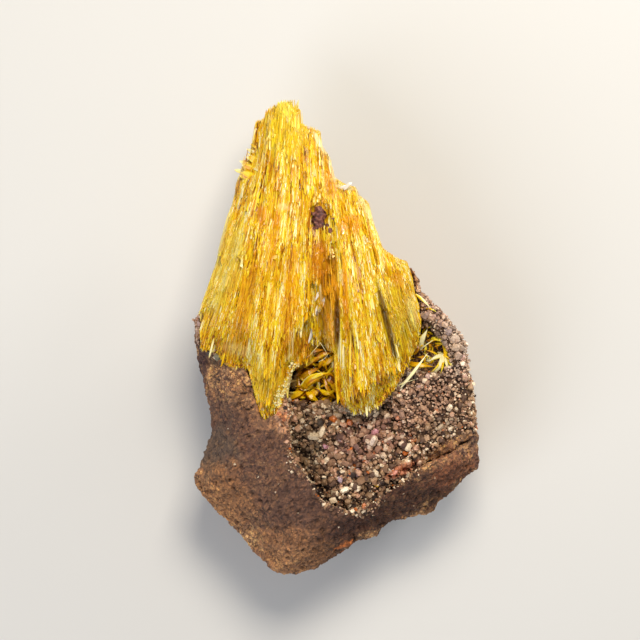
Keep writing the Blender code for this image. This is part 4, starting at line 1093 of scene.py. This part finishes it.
onSpray = {  # the same rows, with heights above the needles; a point past the edge keeps the height before it
    "clear_tips": [
        (0.32, 0.9, (266, 145, 0.1), (264, 160, 0.3)),
        (0.5, 0.9, (343, 190, 0.0), (352, 182, 0.2)),
        (0.3, 0.9, (340, 188, 0.0), (346, 185, 0.1)),
        (0.14, 0.9, (375, 250, 0.1), (386, 312, 0.2)),
    ],
    "edge_spikes": [
        (1.3, 0.3, (264, 184, -0.6), (253, 177, -0.3), (241, 172, -0.2)),
        (1.2, 0.35, (265, 177, -0.6), (254, 170, -0.3), (243, 165, -0.2)),
        (1.1, 0.3, (262, 190, -0.6), (250, 184, -0.3), (239, 180, -0.2)),
        (1.0, 0.4, (266, 166, -0.6), (257, 160, -0.3), (249, 156, -0.2)),
        (0.6, 0.7, (258, 178, -0.5), (246, 172, -0.1), (234, 169, 0.0)),
        (0.55, 0.8, (260, 171, -0.5), (249, 164, -0.1), (239, 160, 0.0)),
        (0.5, 0.6, (262, 166, -0.5), (254, 160, -0.1), (246, 156, 0.0)),
        (0.45, 0.7, (263, 160, -0.5), (255, 152, -0.1), (246, 148, 0.0)),
        (0.4, 0.5, (264, 153, -0.5), (257, 147, -0.1), (250, 143, 0.0)),
        (0.45, 0.5, (256, 184, -0.5), (248, 179, -0.1), (239, 175, 0.0)),
        (0.35, 0.8, (256, 173, -0.3), (249, 168, 0.1), (241, 164, 0.1)),
        (0.3, 0.7, (258, 163, -0.3), (252, 156, 0.1), (246, 152, 0.1)),
    ],
    "column_laths": [
        (0.35, 0.75, (341, 262, 0.0), (341, 320, 0.1), (341, 372, 0.0)),
        (0.30, 0.9, (344, 290, 0.0), (343, 340, 0.1), (344, 388, 0.0)),
        (0.28, 0.6, (347, 255, 0.0), (346, 300, 0.1), (346, 350, 0.0)),
        (0.30, 0.85, (350, 330, 0.0), (350, 368, 0.1), (352, 404, 0.0)),
        (0.26, 0.8, (357, 340, 0.0), (358, 378, 0.1), (361, 410, 0.0)),
        (0.26, 0.95, (340, 330, 0.0), (339, 360, 0.1), (341, 392, 0.0)),
        (0.3, 0.8, (353, 396, 0.0), (354, 407, 0.0), (354, 416, -0.3)),
        (0.34, 0.7, (364, 394, 0.0), (366, 406, 0.0), (367, 417, -0.3)),
        (0.26, 0.6, (372, 392, 0.0), (376, 402, 0.0), (378, 410, -0.3)),
        (0.24, 0.9, (359, 400, 0.0), (360, 409, 0.0), (361, 415, -0.3)),
        (0.3, 0.7, (262, 398, 0.0), (264, 410, 0.0), (265, 420, -0.3)),
        (0.28, 0.6, (270, 392, 0.0), (272, 405, 0.0), (272, 414, -0.3)),
        (0.24, 0.8, (266, 400, 0.0), (268, 410, 0.0), (268, 418, -0.3)),
        (0.26, 0.7, (214, 338, 0.0), (211, 350, 0.0), (209, 358, -0.3)),
        (0.24, 0.5, (226, 348, 0.0), (223, 360, 0.0), (221, 367, -0.3)),
        (0.26, 0.6, (240, 352, 0.0), (237, 364, 0.0), (236, 370, -0.3)),
    ],
}
glints = {  # bundles of near-white slivers beside the hollow: partly colourless crystals, partly a painted highlight of light off striated faces
    "ends": [  # pixels
        ((321, 286), (317, 299)), ((318, 305), (314, 320)), ((314, 326), (310, 341)),
        ((323, 299), (321, 310)),
    ],
    "beside": (-1.8, -0.6, 0.6, 1.8),  # how many pixels each sliver lies beside that line
    "width": 0.17,
    "tone": 0.9,
    "heights": (0.3, 0.45),
}
taper = {"loose": 2.2, "blunt": 6.0}  # how fast a crystal reaches its full width from its tip


def glintRows():
    low, high = glints["heights"]
    for (startX, startY), (endX, endY) in glints["ends"]:
        for beside in glints["beside"]:
            start = (startX + beside, startY - beside, low)
            yield glints["width"], glints["tone"], start, (endX + beside, endY - 1.5 * beside, high)


def restOn(ground, rows):
    # heights above a piece become heights above the floor
    surface = surfaceOf(ground)
    for width, tone, *route in rows:
        laid = []
        for across, down, above in route:
            spot = topUnder(surface, (across, down))
            laid.append((across, down, above + (spot.z / mm if spot else laid[-1][2])))
        yield width, tone, *laid


def addBlade(bm, layers, route, width, tone, narrowing):
    # a flattened crystal along a bent line, widest before its middle, ribbed along its length
    grainLayer, toneLayer = layers
    sides = 6
    steps = 5 if len(route) == 2 else 9
    places = [Vector((*fromPhoto(x, y), height)) for x, y, height in route]
    places = [places[0] * 2 - places[1]] + places + [places[-1] * 2 - places[-2]]
    rings = []
    for step in range(steps + 1):
        along = step / steps
        share = along * (len(places) - 3)
        stretch = min(int(share), len(places) - 4)
        before, start, end, after = places[stretch:stretch + 4]
        t = share - stretch
        spot = 0.5 * (2 * start + (end - before) * t + (2 * before - 5 * start + 4 * end - after) * t ** 2
                      + (3 * start - before - 3 * end + after) * t ** 3)
        run = (end - start).normalized()
        aside = run.cross(Vector((0.2, 0.1, 1.0))).normalized()
        lift = aside.cross(run)
        size = 0.5 * width * (min(1.0, 0.45 + 3.0 * along) * min(1.0, (1.02 - along) * narrowing))
        ring = []
        for side in range(sides):
            turn = math.tau * side / sides
            ridge = 1.0 if side % 2 else 0.82
            out = aside * math.cos(turn) + lift * 0.5 * math.sin(turn)
            vert = bm.verts.new((spot + ridge * size * out) * mm)
            vert[grainLayer] = (side * 0.3 * width + 7.0 * tone, along * 4.0, tone * 9.0)
            vert[toneLayer] = tone
            ring.append(vert)
        rings.append(ring)
    for low, high in zip(rings, rings[1:]):
        for i in range(sides):
            j = (i + 1) % sides
            bm.faces.new((low[i], low[j], high[j], high[i]))
    bm.faces.new(rings[0][::-1])
    bm.faces.new(rings[-1])


def scatteredBlades(small, rng):
    # rows of small blades at random places between two corners
    (left, top), (right, bottom) = small["corners"]
    for _ in range(small["count"]):
        x, y, height = rng.uniform(left, right), rng.uniform(top, bottom), rng.uniform(*small["heights"])
        turn = rng.uniform(0.0, math.tau)
        half = 0.5 * rng.uniform(*small["lengths"]) * photo["pixelsPerMm"]
        bend = turn + rng.uniform(-0.6, 0.6)
        middleX, middleY = x + half * math.cos(turn), y + half * math.sin(turn)
        endX, endY = middleX + half * math.cos(bend), middleY + half * math.sin(bend)
        end = (endX, endY, height + rng.uniform(-0.2, 0.5))
        yield (rng.uniform(*small["widths"]), rng.uniform(0.0, 0.9), (x, y, height),
               (middleX, middleY, height + 0.3), end)


def bladeCluster(name, rows, narrowing):
    bm = bmesh.new()
    layers = bm.verts.layers.float_vector.new("grain"), bm.verts.layers.float.new("tone")
    for width, tone, *route in rows:
        addBlade(bm, layers, route, width, tone, narrowing)
    bmesh.ops.recalc_face_normals(bm, faces=bm.faces)
    return newObject(name, takeMesh(bm, name))


def clearMaterial():
    # colourless legrandite tips: clear, a little milky, with bright striated faces
    material, _, shader = newMaterial("legrandite, colourless tips", Roughness=0.12, IOR=1.68,
                                      Transmission_Weight=0.15)
    # near-white: on the glint slivers this is partly painted highlight
    shader.inputs["Base Color"].default_value = linear("#FFFAEE")
    return material


def buildBlades():
    for name, cluster in blades.items():
        rows = list(cluster["big"])
        if "small" in cluster:
            rows += scatteredBlades(cluster["small"], random.Random(cluster["seed"]))
        finish = legranditeMaterial(f"legrandite blades, {name}", cluster["shade"])
        finishPiece(bladeCluster(name, rows, taper["loose"]), finish, cluster["replaces"])
    onSpray["clear_tips"] += glintRows()
    finishes = {
        "clear_tips": clearMaterial(),
        "edge_spikes": legranditeMaterial("legrandite spikes, pale", -0.12),
        "column_laths": legranditeMaterial("legrandite laths, bright", -0.1),
    }
    for name, rows in onSpray.items():
        piece = bladeCluster(name, restOn(sprayCore, rows), taper["blunt"])
        finishPiece(piece, finishes[name])


buildBlades()
print("blades set")

# The speck: a crumb of dark red-brown rock caught in the spray, with smaller ones round it

speck = {
    "voxel": 0.09,
    "swell": (1.15, 1.3, 1.4),  # against the CAD form, for its ragged outline
    "rough": (0.55, 0.4),  # size and height of its knobs
    "shift": (0.0, -0.5, -0.7),  # from the CAD form's middle, down the spray and into the needles
    "crumbs": [  # pixel and radius of the smaller ones
        ((333, 220), 0.26), ((330, 231), 0.22), ((311, 214), 0.24), ((327, 226), 0.26), ((313, 229), 0.2),
        ((336, 224), 0.14),
    ],
}


def crumbMaterial():
    # iron-stained rock: dark red-brown, mottled, with a slight shine
    material, tree, shader = newMaterial("iron-stained rock crumb", Roughness=0.6)
    place = addNode(tree, "ShaderNodeTexCoord").outputs["Object"]
    mottle = addNode(tree, "ShaderNodeTexNoise", {"Vector": place, "Scale": 1 / (0.45 * mm), "Detail": 5.0})
    tone = addNode(tree, "ShaderNodeValToRGB", {"Fac": mottle.outputs["Fac"]}, stops=[
        (0.36, "#2E1412"), (0.48, "#5E3028"), (0.58, "#7C4A3C"), (0.72, "#A87858")])
    tree.links.new(tone.outputs["Color"], shader.inputs["Base Color"])
    return material


def buildSpeck():
    lump = mergedCopy("limonite_speck", "limonite_crumb")
    places = readPoints(lump.data)[0]
    middle = places.mean(axis=0)
    writePoints(lump.data, middle + speck["shift"] + (places - middle) * speck["swell"])
    bm = bmesh.new()
    bm.from_mesh(lump.data)
    surface = surfaceOf(sprayCore)
    for pixel, radius in speck["crumbs"]:
        spot = Matrix.Translation(topUnder(surface, pixel) + Vector((0.0, 0.0, 0.5 * radius)) * mm)
        bmesh.ops.create_icosphere(bm, subdivisions=2, radius=radius * mm, matrix=spot)
    bm.to_mesh(lump.data)
    bm.free()
    remesh(lump, speck["voxel"])
    places, normals = readPoints(lump.data)
    size, height = speck["rough"]
    push = np.array([noise.noise(Vector(place) / size) for place in places])
    writePoints(lump.data, places + normals * (height * push)[:, None])
    finishPiece(lump, crumbMaterial(), ["limonite_speck"])


buildSpeck()
print("speck set")
